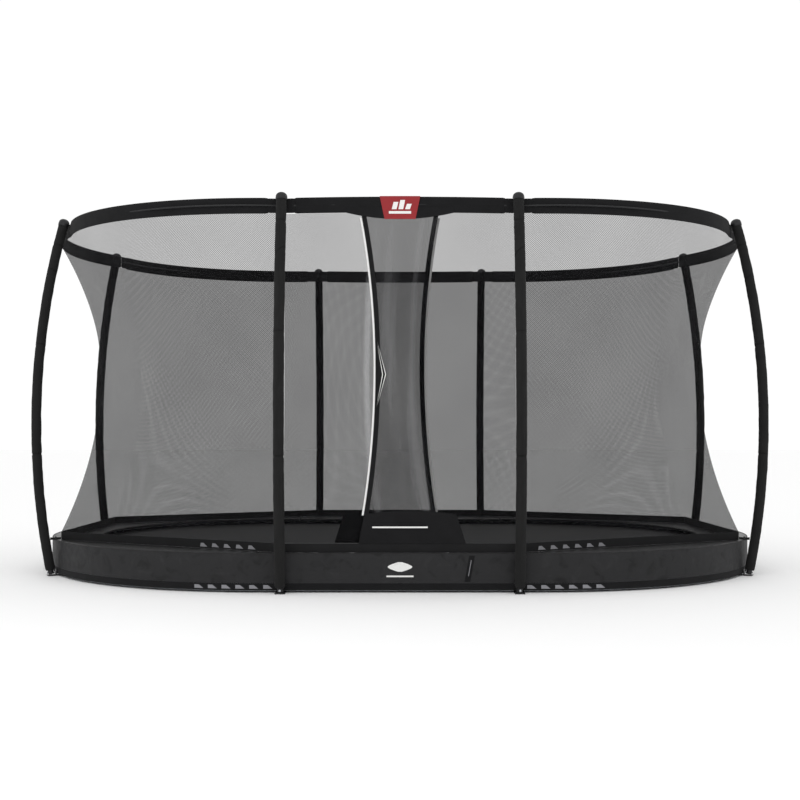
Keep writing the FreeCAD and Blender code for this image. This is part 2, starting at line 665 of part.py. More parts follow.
borders = []
half_border = size("border_thick") / 2
for i in range(8):
    corners = [spot(*POLE_SPOTS[c], border_reach, border_foot) for c in (i, (i + 1) % 8)]
    along = (corners[1] - corners[0]).normalize()
    across = along.cross(UP) * half_border
    first, last = corners[0] + along * end_gap, corners[1] - along * end_gap
    outline = [first + across, last + across, last - across, first - across, first + across]
    borders.append(Part.Face(Part.makePolygon(outline)).extrude(UP * size("border_height")))
feature("net_lower_border", borders)

strap_level = border_foot + size("border_height") / 2
strap_foot = strap_level - size("strap_width") / 2
strap_near = border_reach + half_border + size("strap_gap")
strap_far = pole_reach(strap_foot) - sleeve_radius - size("strap_gap")
strap = Part.makeBox(strap_far - strap_near, size("strap_thick"), size("strap_width"),
                     V(strap_near, -size("strap_thick") / 2, strap_foot))
feature("net_pole_straps", copies(strap, POLE_SPOTS))

# ---------------------------------------------------------------- entrance
# Two net layers overlap in the middle of the front span. Each has a loose edge and folds
# on a slanting line from the top of that edge to its own foot, so its top stays sewn on.
FRONT = 0
plane_y = -2 * border_reach
layer_gap = size("layer_gap")
edge_levels = (net_top, size("edge_middle_level"), size("kick_level"), net_foot)
edge_widths = (size("edge_top_x"), size("edge_middle_x"), size("edge_kick_x"), size("edge_foot_x"))


def loose_edge(side, shift):
    """The loose edge of a flap; side -1 is the outer flap's, +1 the inner flap's."""
    points = [V(side * (width - shift), plane_y, level) for width, level in zip(edge_widths, edge_levels)]
    curve = Part.BSplineCurve()
    curve.interpolate(points)
    return curve.toShape(), points[0], points[-1]


def cutter(edges):
    """A prism through the front net from a closed outline."""
    return Part.Face(Part.Wire(Part.sortEdges(edges)[0])).extrude(V(0, 2 * border_reach, 0))


def outline(points):
    closed = points + points[:1]
    return [Part.LineSegment(closed[i], closed[i + 1]).toShape() for i in range(len(points))]


def fold_line(side, gap):
    """Lower and upper end of the line that a flap folds on, moved away from the flap by gap."""
    foot = V(-side * (size("hinge_foot_x") + gap), plane_y, net_foot)
    top = V(side * (size("edge_top_x") - gap), plane_y, net_top)
    return foot, top


def flap_cutter(side):
    """A flap: its loose edge, its foot and the line that it folds on."""
    curve, top, foot = loose_edge(side, 0)
    hinge_foot = fold_line(side, -size("fold_gap"))[0]
    return cutter([curve, Part.LineSegment(foot, hinge_foot).toShape(),
                   Part.LineSegment(hinge_foot, top).toShape()])


def strip_cutter(side, start, stop):
    """A strip along a loose edge, between two distances in from it."""
    first, first_top, first_foot = loose_edge(side, start)
    second, second_top, second_foot = loose_edge(side, stop)
    return cutter([first, Part.LineSegment(first_foot, second_foot).toShape(), second,
                   Part.LineSegment(second_top, first_top).toShape()])


def fixed_cutter(side):
    """The sewn part of a layer, from the fold line to its pole."""
    foot, top = fold_line(side, size("fold_gap"))
    pole_x = -side * size("pole_front_x")
    return cutter(outline([foot, V(pole_x, foot.y, net_foot), V(pole_x, foot.y, net_top), top]))


def kick_cutter(side):
    """The cloth foot panel: a low trapezium with a crowned top."""
    hinge_foot, hinge_top = fold_line(side, -size("fold_gap"))
    rise = (size("kick_level") - net_foot) / (net_top - net_foot)
    far_top = hinge_foot + (hinge_top - hinge_foot) * rise
    near_top = V(side * size("edge_kick_x"), far_top.y, size("kick_level"))
    near_foot = V(side * size("edge_foot_x"), far_top.y, net_foot)
    crown = V((near_top.x + far_top.x) / 2, far_top.y, size("kick_level") + size("kick_crown"))
    return cutter([Part.Arc(near_top, crown, far_top).toShape()]
                  + [Part.LineSegment(a, b).toShape() for a, b in
                     ((far_top, hinge_foot), (hinge_foot, near_foot), (near_foot, near_top))])


def entrance_layer(name, side, base, facing):
    """The pieces of one layer; base is its inward offset, facing -1 dresses it outside, +1 inside."""
    fixed_name = {"outer": "net_front_right", "inner": "net_front_left"}[name]
    net = net_sheet(FRONT, base, base + net_thick)
    flap = flap_cutter(side)
    feature(fixed_name, [net.common(fixed_cutter(side))])
    feature(f"net_flap_{name}", [net.common(flap)])

    def sheet_beyond(clear, thick):
        face = base if facing < 0 else base + net_thick
        ends = sorted((face + facing * clear, face + facing * (clear + thick)))
        return net_sheet(FRONT, *ends)

    strip = strip_cutter(side, 0, size("tape_width"))
    tape = sheet_beyond(sewn_gap, size("tape_thick")).common(strip).common(flap)
    piping_half = size("piping_dia") / 2
    middle = base + net_thick / 2
    piping = net_sheet(FRONT, middle - piping_half, middle + piping_half).common(
        strip_cutter(side, -size("piping_dia"), -sewn_gap))
    feature(f"flap_edging_{name}", [tape, piping])
    over_tape = sheet_beyond(2 * sewn_gap + size("tape_thick"), net_thick)
    feature(f"flap_foot_panel_{name}", [over_tape.common(kick_cutter(side)).common(flap)])
    return over_tape


over_outer_tape = entrance_layer("outer", -1, 0, -1)
entrance_layer("inner", 1, layer_gap, 1)

tag_middle, tag_half = size("tag_level"), size("tag_tall") / 2
tag_x = size("tag_inset") - size("edge_middle_x")
tag_points = [V(tag_x, plane_y, tag_middle + tag_half), V(tag_x + size("tag_width"), plane_y, tag_middle),
              V(tag_x, plane_y, tag_middle - tag_half)]
feature("flap_pull_tag", [over_outer_tape.common(cutter(outline(tag_points)))])

# ---------------------------------------------------------------- visor and badge on the front band
visor_half = size("visor_width") / 2
visor_near = half_band + sewn_gap
visor_top = band_foot_level + size("band_tall") / 3


def front_strip(near, far):
    """The room in front of the front band between two outward offsets."""
    return band_sweep(FRONT, upright_face(near, far, net_foot, band_top + size("badge_tall")), band_stop, band_stop)


visor_left, visor_right = V(-visor_half, plane_y, band_foot_level), V(visor_half, plane_y, band_foot_level)
visor_edges = [Part.Arc(visor_left, V(0, plane_y, band_foot_level - size("visor_drop")), visor_right).toShape()]
visor_corners = [visor_right, V(visor_half, plane_y, visor_top), V(-visor_half, plane_y, visor_top), visor_left]
visor_edges += [Part.LineSegment(a, b).toShape() for a, b in zip(visor_corners, visor_corners[1:])]
visor_far = visor_near + size("badge_thick")
feature("entrance_visor", [front_strip(visor_near, visor_far).common(cutter(visor_edges))])

badge_near = visor_far + sewn_gap
top_half, foot_half = size("badge_top_width") / 2, size("badge_foot_width") / 2
badge_foot = band_top - size("badge_tall")
badge = [V(-top_half, plane_y, band_top), V(top_half, plane_y, band_top),
         V(foot_half, plane_y, badge_foot), V(-foot_half, plane_y, badge_foot)]
feature("front_badge", [front_strip(badge_near, badge_near + size("badge_thick")).common(cutter(outline(badge)))])

# ---------------------------------------------------------------- checks and files
doc.recompute()
faults = []
for item in doc.Objects:
    if "Invalid" in item.State or "Error" in item.State:
        faults.append(f"{item.Label}: {item.State}")
for node in nodes:
    if node.Shape.isNull() or not node.Shape.isValid() or not node.Shape.Solids:
        faults.append(f"{node.Label}: shape is null, invalid or has no solid")
if faults:
    raise RuntimeError("; ".join(faults))

os.makedirs("parts", exist_ok=True)
for node in nodes:
    node.Shape.exportStep(f"parts/{node.Label}.step")
    print(f"{node.Label}: {len(node.Shape.Solids)} solids, {node.Shape.Volume / 1e6:.3f} litres")
print(len(nodes), "nodes")
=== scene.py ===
import logging
import math
from contextlib import contextmanager
from dataclasses import dataclass, field
from enum import Enum
from typing import Any, Callable, Iterator

import bmesh
import bpy
import numpy as np
from mathutils import Matrix, Vector


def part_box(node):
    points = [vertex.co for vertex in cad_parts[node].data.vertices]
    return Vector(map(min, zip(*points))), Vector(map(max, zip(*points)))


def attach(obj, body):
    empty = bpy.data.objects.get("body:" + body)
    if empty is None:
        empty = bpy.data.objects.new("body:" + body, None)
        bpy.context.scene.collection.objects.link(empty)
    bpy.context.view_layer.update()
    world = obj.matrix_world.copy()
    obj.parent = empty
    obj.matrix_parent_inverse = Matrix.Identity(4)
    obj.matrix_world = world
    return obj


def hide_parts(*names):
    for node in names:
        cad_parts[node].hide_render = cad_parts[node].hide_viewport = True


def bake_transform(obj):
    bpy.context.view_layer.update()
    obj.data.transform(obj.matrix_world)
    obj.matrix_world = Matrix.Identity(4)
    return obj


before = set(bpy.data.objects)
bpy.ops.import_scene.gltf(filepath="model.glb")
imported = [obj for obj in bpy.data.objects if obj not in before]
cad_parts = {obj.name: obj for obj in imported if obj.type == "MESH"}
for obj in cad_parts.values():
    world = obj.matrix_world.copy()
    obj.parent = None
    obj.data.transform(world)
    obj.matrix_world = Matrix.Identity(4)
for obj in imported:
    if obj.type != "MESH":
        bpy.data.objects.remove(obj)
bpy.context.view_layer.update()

MM = 0.001
log = logging.getLogger("trampoline")
Array = np.ndarray
Trio = tuple[Array, Array, Array]
Places = Callable[[Array, Array], Trio]
Relief = Callable[[Array, Array], Array]
Object, Material = bpy.types.Object, bpy.types.Material
Tree, Socket = bpy.types.NodeTree, bpy.types.NodeSocket
Colour = tuple[float, float, float, float]


# ------------------------------------------------------------------ node and colour helpers
def linear(colour: str, share: float = 1.0) -> Colour:
    """Turns an sRGB hex colour into linear RGBA.

    Args:
        colour: a hash and six hex digits.
        share: how much of the light is kept; below 1 the colour is darker.

    Returns:
        Red, green, blue and alpha, linear.
    """
    steps = [int(colour[i:i + 2], 16) / 255 for i in (1, 3, 5)]
    return (*[share * (s / 12.92 if s <= 0.04045 else ((s + 0.055) / 1.055) ** 2.4) for s in steps], 1.0)


def add_node(tree: Tree, kind: str, links: dict[Any, Any] | None = None, **settings: Any) -> bpy.types.Node:
    """Adds a shader node with its settings, and links or sets its inputs.

    Args:
        tree: the node tree.
        kind: the node's type without the ShaderNode prefix.
        links: input name or index to a socket that feeds it, or to a plain value.
        **settings: the node's own properties.

    Returns:
        The new node.
    """
    node = tree.nodes.new("ShaderNode" + kind)
    for key, value in settings.items():
        setattr(node, key, value)
    for key, value in (links or {}).items():
        if isinstance(value, Socket):
            tree.links.new(value, node.inputs[key])
        else:
            node.inputs[key].default_value = value
    return node


def wave_scale(spacing_mm: float) -> float:
    """The Wave texture's scale for stripes this far apart on coordinates in metres."""
    return math.pi / 10 / (spacing_mm / 1000)


def noise_scale(grain_mm: float) -> float:
    """The Noise texture's scale for grain of this size on coordinates in metres."""
    return 1000 / grain_mm


class Follow(Enum):
    """Which coordinates a pattern follows."""
    PLACE = "Object"
    CLOTH = "Cloth"


@dataclass(frozen=True)
class Finish:
    """What every finish shares: its name and body colour, its gloss and the coordinates it follows."""
    name: str
    colour: str
    roughness: float
    follow: Follow = Follow.PLACE

    def start(self) -> tuple[Material, Tree, Socket]:
        """Makes the material with its coordinates.

        Returns:
            The material, its tree and the coordinate socket.
        """
        material = bpy.data.materials.new(self.name)
        material.use_nodes = True
        tree = material.node_tree
        tree.nodes.clear()
        if self.follow is Follow.PLACE:
            return material, tree, add_node(tree, "TexCoord").outputs["Object"]
        return material, tree, add_node(tree, "UVMap", uv_map=self.follow.value).outputs[0]

    def surface(self, tree: Tree, inputs: dict[str, Any]) -> None:
        """Adds the main shader with these inputs and joins it to the surface."""
        shader = add_node(tree, "BsdfPrincipled", inputs)
        add_node(tree, "OutputMaterial", {"Surface": shader.outputs[0]})

    def build(self) -> Material:
        """Makes the finish's material."""
        raise NotImplementedError


@dataclass(frozen=True)
class WovenCloth(Finish):
    """Woven polyester or polypropylene: two sets of threads, faded patches and a dry, matt face."""
    worn: str = "#3a3a3b"
    thread_mm: float = 2.2
    relief_mm: float = 0.25
    specular: float = 0.12
    sheen: float = 0.06
    seams: tuple[float, ...] = ()
    wrap: tuple[float, float, float] | None = None
    patch_mm: float = 160
    fuzz_mm: float = 7
    seam_half: float = 0.0045

    def sewn(self, tree: Tree, place: Socket, colour: Socket, dark: Colour) -> Socket:
        """Darkens the sewn joints: rows across the cloth, and one that wraps it at a slant.

        Args:
            tree: the material's tree.
            place: the cloth coordinates, in metres.
            colour: the cloth's colour so far.
            dark: the colour in the joints.

        Returns:
            The new colour.
        """
        parts = add_node(tree, "SeparateXYZ", {0: place}).outputs
        rows = [(parts[1], height) for height in self.seams]
        if self.wrap:
            height, swing, radius = self.wrap
            turn = add_node(tree, "Math", {0: parts[0], 1: 1 / radius, 2: -math.radians(60)},
                            operation="MULTIPLY_ADD").outputs[0]
            bend = add_node(tree, "Math", {0: turn}, operation="COSINE").outputs[0]
            line = add_node(tree, "Math", {0: bend, 1: -swing, 2: parts[1]}, operation="MULTIPLY_ADD")
            rows.append((line.outputs[0], height))
        for line, height in rows:
            near = add_node(tree, "Math", {0: line, 1: height, 2: self.seam_half}, operation="COMPARE")
            colour = add_node(tree, "MixRGB", {0: near.outputs[0], 1: colour, 2: dark}).outputs[0]
        return colour

    def build(self) -> Material:
        """The threads give the bump, and soft patches shift the colour and the gloss."""
        material, tree, place = self.start()
        warp, weft = (add_node(tree, "TexWave", {"Vector": place, "Scale": wave_scale(self.thread_mm),
                                                 "Distortion": 0.3, "Detail": 1.0},
                               bands_direction=axis).outputs["Fac"] for axis in "XY")
        weave = add_node(tree, "Math", {0: warp, 1: weft}, operation="MULTIPLY").outputs[0]
        patches = add_node(tree, "TexNoise", {"Vector": place, "Scale": noise_scale(self.patch_mm),
                                              "Detail": 5.0, "Roughness": 0.6}).outputs["Fac"]
        fuzz = add_node(tree, "TexNoise", {"Vector": place, "Scale": noise_scale(self.fuzz_mm),
                                           "Detail": 3.0}).outputs["Fac"]
        dark = linear(self.colour, 0.55)
        fading = add_node(tree, "MapRange", {0: patches, 1: 0.35, 2: 0.7, 3: 0.0, 4: 0.55}).outputs[0]
        faded = add_node(tree, "MixRGB", {0: fading, 1: linear(self.colour), 2: linear(self.worn)}).outputs[0]
        gaps = add_node(tree, "MapRange", {0: weave, 1: 0.0, 2: 0.8, 3: 0.5, 4: 0.0}).outputs[0]
        colour = add_node(tree, "MixRGB", {0: gaps, 1: faded, 2: dark}).outputs[0]
        if self.seams or self.wrap:
            colour = self.sewn(tree, place, colour, dark)
        shine = add_node(tree, "MapRange", {0: fuzz, 1: 0.3, 2: 0.7, 3: self.roughness - 0.06,
                                            4: min(1.0, self.roughness + 0.06)}).outputs[0]
        soft = add_node(tree, "Bump", {"Height": fuzz, "Strength": 0.25, "Distance": MM})
        threads = add_node(tree, "Bump", {"Height": weave, "Strength": 0.5, "Distance": self.relief_mm * MM,
                                          "Normal": soft.outputs[0]})
        self.surface(tree, {"Base Color": colour, "Roughness": shine, "Normal": threads.outputs[0],
                            "Specular IOR Level": self.specular, "Sheen Weight": self.sheen,
                            "Sheen Roughness": 0.6})
        return material


@dataclass(frozen=True)
class CoatedVinyl(Finish):
    """PVC laid over cloth: an even colour with pressed grain, slow creases painted with light and shade, and a
    low satin shine.
    """
    # the dust colour, also used as the painted highlight on the crease tops
    dust_and_crease_highlight: str = "#58585a"
    grain_mm: float = 3.0
    crease_mm: float = 120.0
    crease_relief_mm: float = 2.5
    # how strongly a highlight and shade are painted into the colour along the creases
    painted_crease_shading: float = 0.25
    specular: float = 0.3
    dust_mm: float = 55

    def build(self) -> Material:
        """Fine pebbled grain over long soft creases, with a painted highlight on their tops and painted shade
        in their hollows; dust dulls some of it.
        """
        material, tree, place = self.start()
        grain = add_node(tree, "TexVoronoi", {"Vector": place, "Scale": noise_scale(self.grain_mm)},
                         feature="SMOOTH_F1").outputs["Distance"]
        crease = add_node(tree, "TexNoise", {"Vector": place, "Scale": noise_scale(self.crease_mm),
                                             "Detail": 4.0, "Distortion": 0.8}).outputs["Fac"]
        dust = add_node(tree, "TexNoise", {"Vector": place, "Scale": noise_scale(self.dust_mm), "Detail": 6.0,
                                           "Roughness": 0.7}).outputs["Fac"]
        colour, dust_and_crease_highlight, dark = linear(self.colour), linear(self.dust_and_crease_highlight), linear(self.colour, 0.5)
        # the dust row is real dust; the two crease rows are painted light: a highlight on crease tops in the
        # dust colour, and painted shade in crease hollows from dark
        for source, low, high, most, tint in ((dust, 0.4, 0.75, 0.45, dust_and_crease_highlight),
                                              (crease, 0.56, 0.72, self.painted_crease_shading, dust_and_crease_highlight),
                                              (crease, 0.44, 0.30, self.painted_crease_shading, dark)):
            share = add_node(tree, "MapRange", {0: source, 1: low, 2: high, 3: 0.0, 4: most}).outputs[0]
            colour = add_node(tree, "MixRGB", {0: share, 1: colour, 2: tint}).outputs[0]
        shine = add_node(tree, "MapRange", {0: dust, 1: 0.3, 2: 0.7, 3: self.roughness - 0.08,
                                            4: self.roughness + 0.12}).outputs[0]
        slow = add_node(tree, "Bump", {"Height": crease, "Strength": 0.6,
                                       "Distance": self.crease_relief_mm * MM})
        fine = add_node(tree, "Bump", {"Height": grain, "Strength": 0.2, "Distance": 0.4 * MM,
                                       "Normal": slow.outputs[0]})
        self.surface(tree, {"Base Color": colour, "Roughness": shine, "Normal": fine.outputs[0],
                            "Specular IOR Level": self.specular})
        return material


@dataclass(frozen=True)
class KnottedNet(Finish):
    """Knitted polyethylene net: black yarns round small holes, so about half of it lets the light through."""
    hole_mm: float = 7.0  # real holes are near 3 mm; drawn coarser so that they show
    open_alpha: float = 0.43
    yarn_alpha: float = 0.70
    fold_sheen: str = ""
    folds_from: float = 0.0
    drift_mm: float = 700
    faded: str = "#1c1c1e"

    def build(self) -> Material:
        """Crossed yarns drive the opacity; between them a haze stands for the finer stitches."""
        material, tree, place = self.start()
        turned = add_node(tree, "Mapping", {"Vector": place, "Rotation": (0, 0, math.radians(45))}).outputs[0]
        yarns = [add_node(tree, "TexWave", {"Vector": turned, "Scale": wave_scale(self.hole_mm),
                                            "Distortion": 0.15, "Detail": 1.0},
                          bands_direction=axis).outputs["Fac"] for axis in "XY"]
        crossed = add_node(tree, "Math", {0: yarns[0], 1: yarns[1]}, operation="MAXIMUM").outputs[0]
        cells = add_node(tree, "MapRange", {0: crossed, 1: 0.72, 2: 0.97, 3: self.open_alpha,
                                            4: self.yarn_alpha}).outputs[0]
        drift = add_node(tree, "TexNoise", {"Vector": place, "Scale": noise_scale(self.drift_mm),
                                            "Detail": 3.0}).outputs["Fac"]
        uneven = add_node(tree, "MapRange", {0: drift, 1: 0.3, 2: 0.7, 3: -0.025, 4: 0.025}).outputs[0]
        opacity = add_node(tree, "Math", {0: cells, 1: uneven}, operation="ADD", use_clamp=True).outputs[0]
        fading = add_node(tree, "MapRange", {0: drift, 1: 0.35, 2: 0.65, 3: 0.0, 4: 1.0}).outputs[0]
        grey = add_node(tree, "MixRGB", {0: fading, 1: linear(self.colour), 2: linear(self.faded)}).outputs[0]
        if self.fold_sheen:
            grey = self.sheen_on_folds(tree, place, grey)
        bump = add_node(tree, "Bump", {"Height": crossed, "Strength": 0.3, "Distance": 0.5 * MM})
        self.surface(tree, {"Base Color": grey, "Alpha": opacity, "Roughness": self.roughness,
                            "Normal": bump.outputs[0], "Specular IOR Level": 0.05})
        return material

    def sheen_on_folds(self, tree: Tree, place: Socket, grey: Socket) -> Socket:
        """Lightens soft upright folds past a line, where the slack net catches the light.

        Args:
            tree: the material's tree.
            place: the cloth coordinates, in metres.
            grey: the yarn colour so far.

        Returns:
            The new colour.
        """
        # long in the height, so the folds run up the cloth
        drawn = add_node(tree, "Mapping", {"Vector": place, "Scale": (9.0, 0.55, 1.0)}).outputs[0]
        folds = add_node(tree, "TexNoise", {"Vector": drawn, "Scale": 1.0, "Detail": 1.5}).outputs["Fac"]
        across = add_node(tree, "SeparateXYZ", {0: place}).outputs[0]
        start = add_node(tree, "MapRange", {0: across, 1: self.folds_from,
                                            2: self.folds_from + 0.04}).outputs[0]
        lit = add_node(tree, "MapRange", {0: folds, 1: 0.48, 2: 0.68}).outputs[0]
        share = add_node(tree, "Math", {0: start, 1: lit}, operation="MULTIPLY").outputs[0]
        return add_node(tree, "MixRGB", {0: share, 1: grey, 2: linear(self.fold_sheen)}).outputs[0]


@dataclass(frozen=True)
class Steel(Finish):
    """Galvanised or plated steel tube: a bright zinc skin with spangle, drawn marks and dull spots."""
    dull: str = "#8a8d90"
    spangle_mm: float = 9.0
    wear_mm: float = 40

    def build(self) -> Material:
        """Zinc crystals change the tone from cell to cell, and handling dulls it."""
        material, tree, place = self.start()
        cells = add_node(tree, "TexVoronoi", {"Vector": place, "Scale": noise_scale(self.spangle_mm)})
        tone = add_node(tree, "RGBToBW", {0: cells.outputs["Color"]}).outputs[0]
        wear = add_node(tree, "TexNoise", {"Vector": place, "Scale": noise_scale(self.wear_mm),
                                           "Detail": 6.0}).outputs["Fac"]
        colour = linear(self.colour)
        for source, low, high, most in ((tone, 0.2, 0.8, 0.6), (wear, 0.5, 0.75, 0.5)):
            share = add_node(tree, "MapRange", {0: source, 1: low, 2: high, 3: 0.0, 4: most}).outputs[0]
            colour = add_node(tree, "MixRGB", {0: share, 1: colour, 2: linear(self.dull)}).outputs[0]
        shine = add_node(tree, "MapRange", {0: wear, 1: 0.3, 2: 0.75, 3: self.roughness - 0.08,
                                            4: self.roughness + 0.2}).outputs[0]
        bump = add_node(tree, "Bump", {"Height": wear, "Strength": 0.15, "Distance": 0.5 * MM})
        self.surface(tree, {"Base Color": colour, "Roughness": shine, "Normal": bump.outputs[0],
                            "Metallic": 1.0, "Specular IOR Level": 0.5})
        return material


@dataclass(frozen=True)
class HardSkin(Finish):
    """Powder coat or moulded plastic: one body colour under a fine skin, scuffed in places."""
    scuffed: str = "#4a4a4c"
    skin_mm: float = 1.6
    relief_mm: float = 0.12
    specular: float = 0.35
    scuff_mm: float = 24

    def build(self) -> Material:
        """A fine orange-peel or mould texture, with paler scuffs that are a little rougher."""
        material, tree, place = self.start()
        skin = add_node(tree, "TexNoise", {"Vector": place, "Scale": noise_scale(self.skin_mm),
                                           "Detail": 2.0}).outputs["Fac"]
        scuff = add_node(tree, "TexNoise", {"Vector": place, "Scale": noise_scale(self.scuff_mm),
                                            "Detail": 8.0, "Roughness": 0.75}).outputs["Fac"]
        rubbed = add_node(tree, "MapRange", {0: scuff, 1: 0.52, 2: 0.72, 3: 0.0, 4: 0.6}).outputs[0]
        colour = add_node(tree, "MixRGB", {0: rubbed, 1: linear(self.colour),
                                           2: linear(self.scuffed)}).outputs[0]
        shine = add_node(tree, "MapRange", {0: scuff, 1: 0.3, 2: 0.7, 3: self.roughness - 0.05,
                                            4: self.roughness + 0.12}).outputs[0]
        bump = add_node(tree, "Bump", {"Height": skin, "Strength": 0.35, "Distance": self.relief_mm * MM})
        self.surface(tree, {"Base Color": colour, "Roughness": shine, "Normal": bump.outputs[0],
                            "Specular IOR Level": self.specular})
        return material


# ------------------------------------------------------------------ modelling helpers
def deselect() -> None:
    """Leaves nothing selected."""
    for item in bpy.context.selected_objects:
        item.select_set(False)


def pick(obj: Object) -> Object:
    """Selects one object alone and makes it active."""
    deselect()
    obj.select_set(True)
    bpy.context.view_layer.objects.active = obj
    return obj


@contextmanager
def editing(obj: Object) -> Iterator[bmesh.types.BMesh]:
    """Edit mode on one object, with nothing selected at the start."""
    pick(obj)
    bpy.ops.object.mode_set(mode="EDIT")
    bpy.ops.mesh.select_all(action="DESELECT")
    try:
        yield bmesh.from_edit_mesh(obj.data)
    finally:
        bpy.ops.object.mode_set(mode="OBJECT")


def apply_modifier(obj: Object, kind: str, **settings: Any) -> Object:
    """Adds a modifier with its settings and applies it.

    Args:
        obj: the object.
        kind: the modifier's type.
        **settings: its own properties.

    Returns:
        The same object.
    """
    pick(obj)
    modifier = obj.modifiers.new(kind.lower(), kind)
    for key, value in settings.items():
        setattr(modifier, key, value)
    bpy.ops.object.modifier_apply(modifier=modifier.name)
    return obj


def coordinates(obj: Object) -> Array:
    """The vertices' places as one array."""
    found = np.empty(len(obj.data.vertices) * 3)
    obj.data.vertices.foreach_get("co", found)
    return found.reshape(-1, 3)


def move_to(obj: Object, points: Array) -> None:
    """Puts the vertices at these places."""
    obj.data.vertices.foreach_set("co", points.astype(np.float32).ravel())
    obj.data.update()


def settle(obj: Object) -> Object:
    """Puts an object's place, turn and scale into its mesh."""
    pick(obj)
    bpy.ops.object.transform_apply(location=True, rotation=True, scale=True)
    return obj


def weld(obj: Object, reach: float = 0.0002) -> Object:
    """Merges vertices within reach of each other and turns all faces outwards."""
    with editing(obj):
        bpy.ops.mesh.select_all(action="SELECT")
        bpy.ops.mesh.remove_doubles(threshold=reach)
        bpy.ops.mesh.normals_make_consistent(inside=False)
    return obj


def close_ends(obj: Object) -> Object:
    """Closes the open ends of a tube."""
    with editing(obj):
        bpy.ops.mesh.select_all(action="SELECT")
        bpy.ops.mesh.fill_holes(sides=0)
        bpy.ops.mesh.normals_make_consistent(inside=False)
    return obj


def smooth(obj: Object, degrees: float = 50.0) -> Object:
    """Shades an object smooth but for its sharp edges."""
    pick(obj)
    bpy.ops.object.shade_smooth_by_angle(angle=math.radians(degrees))
    return obj


def cloth_grid(name: str, columns: int, rows: int, width: float, height: float, places: Places) -> Object:
    """A grid of faces laid on a surface, with a UV map in metres along it.

    Args:
        name: the piece's name.
        columns: faces across.
        rows: faces up.
        width: real length of u from 0 to 1.
        height: real length of v from 0 to 1.
        places: gives x, y and z from u and v, each 0 to 1.

    Returns:
        The object.
    """
    deselect()
    bpy.ops.mesh.primitive_grid_add(x_subdivisions=columns, y_subdivisions=rows, size=1)
    obj = bpy.context.active_object
    obj.name = obj.data.name = name
    flat = coordinates(obj) + 0.5
    move_to(obj, np.stack(places(flat[:, 0], flat[:, 1]), axis=1))
    layer = obj.data.uv_layers[0]
    layer.name = Follow.CLOTH.value
    uv = np.empty(len(layer.data) * 2)
    layer.data.foreach_get("uv", uv)
    uv = uv.reshape(-1, 2) * (width, height)
    layer.data.foreach_set("uv", uv.ravel())
    return obj


def thicken(obj: Object, thickness: float, offset: float = 0.0) -> Object:
    """Gives a sheet two faces and an edge."""
    return apply_modifier(obj, "SOLIDIFY", thickness=thickness, offset=offset, use_even_offset=False)


def join(name: str, pieces: list[Object]) -> Object:
    """Makes one object from several.

    Args:
        name: its name.
        pieces: what it is made from; they are used up.

    Returns:
        The object.
    """
    deselect()
    for piece in pieces:
        piece.select_set(True)
    bpy.context.view_layer.objects.active = pieces[0]
    if len(pieces) > 1:
        bpy.ops.object.join()
    pieces[0].name = pieces[0].data.name = name
    return pieces[0]


def round_oval(x: float, azimuth: float) -> Matrix:
    """The move from azimuth 0 to a place round the oval: a turn, then a step along the long axis."""
    return Matrix.Translation((x, 0, 0)) @ Matrix.Rotation(math.radians(azimuth), 4, "Z")


def copy_of(obj: Object, name: str, matrix: Matrix) -> Object:
    """A copy with its own mesh; a mirrored one has its faces turned back.

    Args:
        obj: what is copied.
        name: the copy's name.
        matrix: the move of its mesh.

    Returns:
        The copy.
    """
    twin = obj.copy()
    twin.data = obj.data.copy()
    twin.name = twin.data.name = name
    bpy.context.scene.collection.objects.link(twin)
    twin.data.transform(matrix)
    if matrix.determinant() < 0:
        twin.data.flip_normals()
    return twin


def crest(place: Any, middle: float, half: float) -> Any:
    """A smooth bump of height 1 that falls off within about half on each side of the middle."""
    return np.exp(-((place - middle) / half) ** 2)


def unit_waves(seed: int, count: int, shortest: float, longest: float) -> Relief:
    """Soft seeded waves over a surface.

    Args:
        seed: the same seed gives the same waves.
        count: how many waves are added up.
        shortest: the shortest wave, in metres.
        longest: the longest wave, in metres.

    Returns:
        A function of two coordinates in metres, about -1 to 1.
    """
    draw = np.random.default_rng(seed)
    turns = draw.uniform(0, 2 * math.pi, count)
    starts = draw.uniform(0, 2 * math.pi, count)
    rates = 2 * math.pi / draw.uniform(shortest, longest, count)

    def waves(a: Array, b: Array) -> Array:
        """The height of the waves."""
        total = sum(np.sin(r * (np.cos(t) * a + np.sin(t) * b) + s) for r, t, s in zip(rates, turns, starts))
        return total / math.sqrt(count)
    return waves


def inflate(obj: Object, cell: float, pressure: float, cap: float, frames: int = 16) -> Object:
    """Puffs a closed padded shape by a cloth simulation.

    Args:
        obj: the slightly small closed shape.
        cell: size of the remeshed faces.
        pressure: the cloth's inner pressure.
        cap: how far a point may move.
        frames: how long the simulation runs.

    Returns:
        The same object with the simulated mesh.
    """
    pick(obj)
    obj.data.remesh_voxel_size = cell
    bpy.ops.object.voxel_remesh()
    start = coordinates(obj)
    cloth = obj.modifiers.new("cloth", "CLOTH")
    cloth.settings.use_pressure = True
    cloth.settings.uniform_pressure_force = pressure
    cloth.settings.effector_weights.gravity = 0
    cloth.settings.quality = 3
    cloth.settings.tension_stiffness = cloth.settings.compression_stiffness = 8
    cloth.point_cache.frame_start, cloth.point_cache.frame_end = 1, frames
    scene = bpy.context.scene
    for number in range(1, frames + 1):
        scene.frame_set(number)
    pick(obj)
    bpy.ops.object.modifier_apply(modifier=cloth.name)
    scene.frame_set(1)
    step = coordinates(obj) - start
    length = np.linalg.norm(step, axis=1, keepdims=True)
    move_to(obj, start + step * np.minimum(1, cap / np.maximum(length, 1e-9)))
    return obj


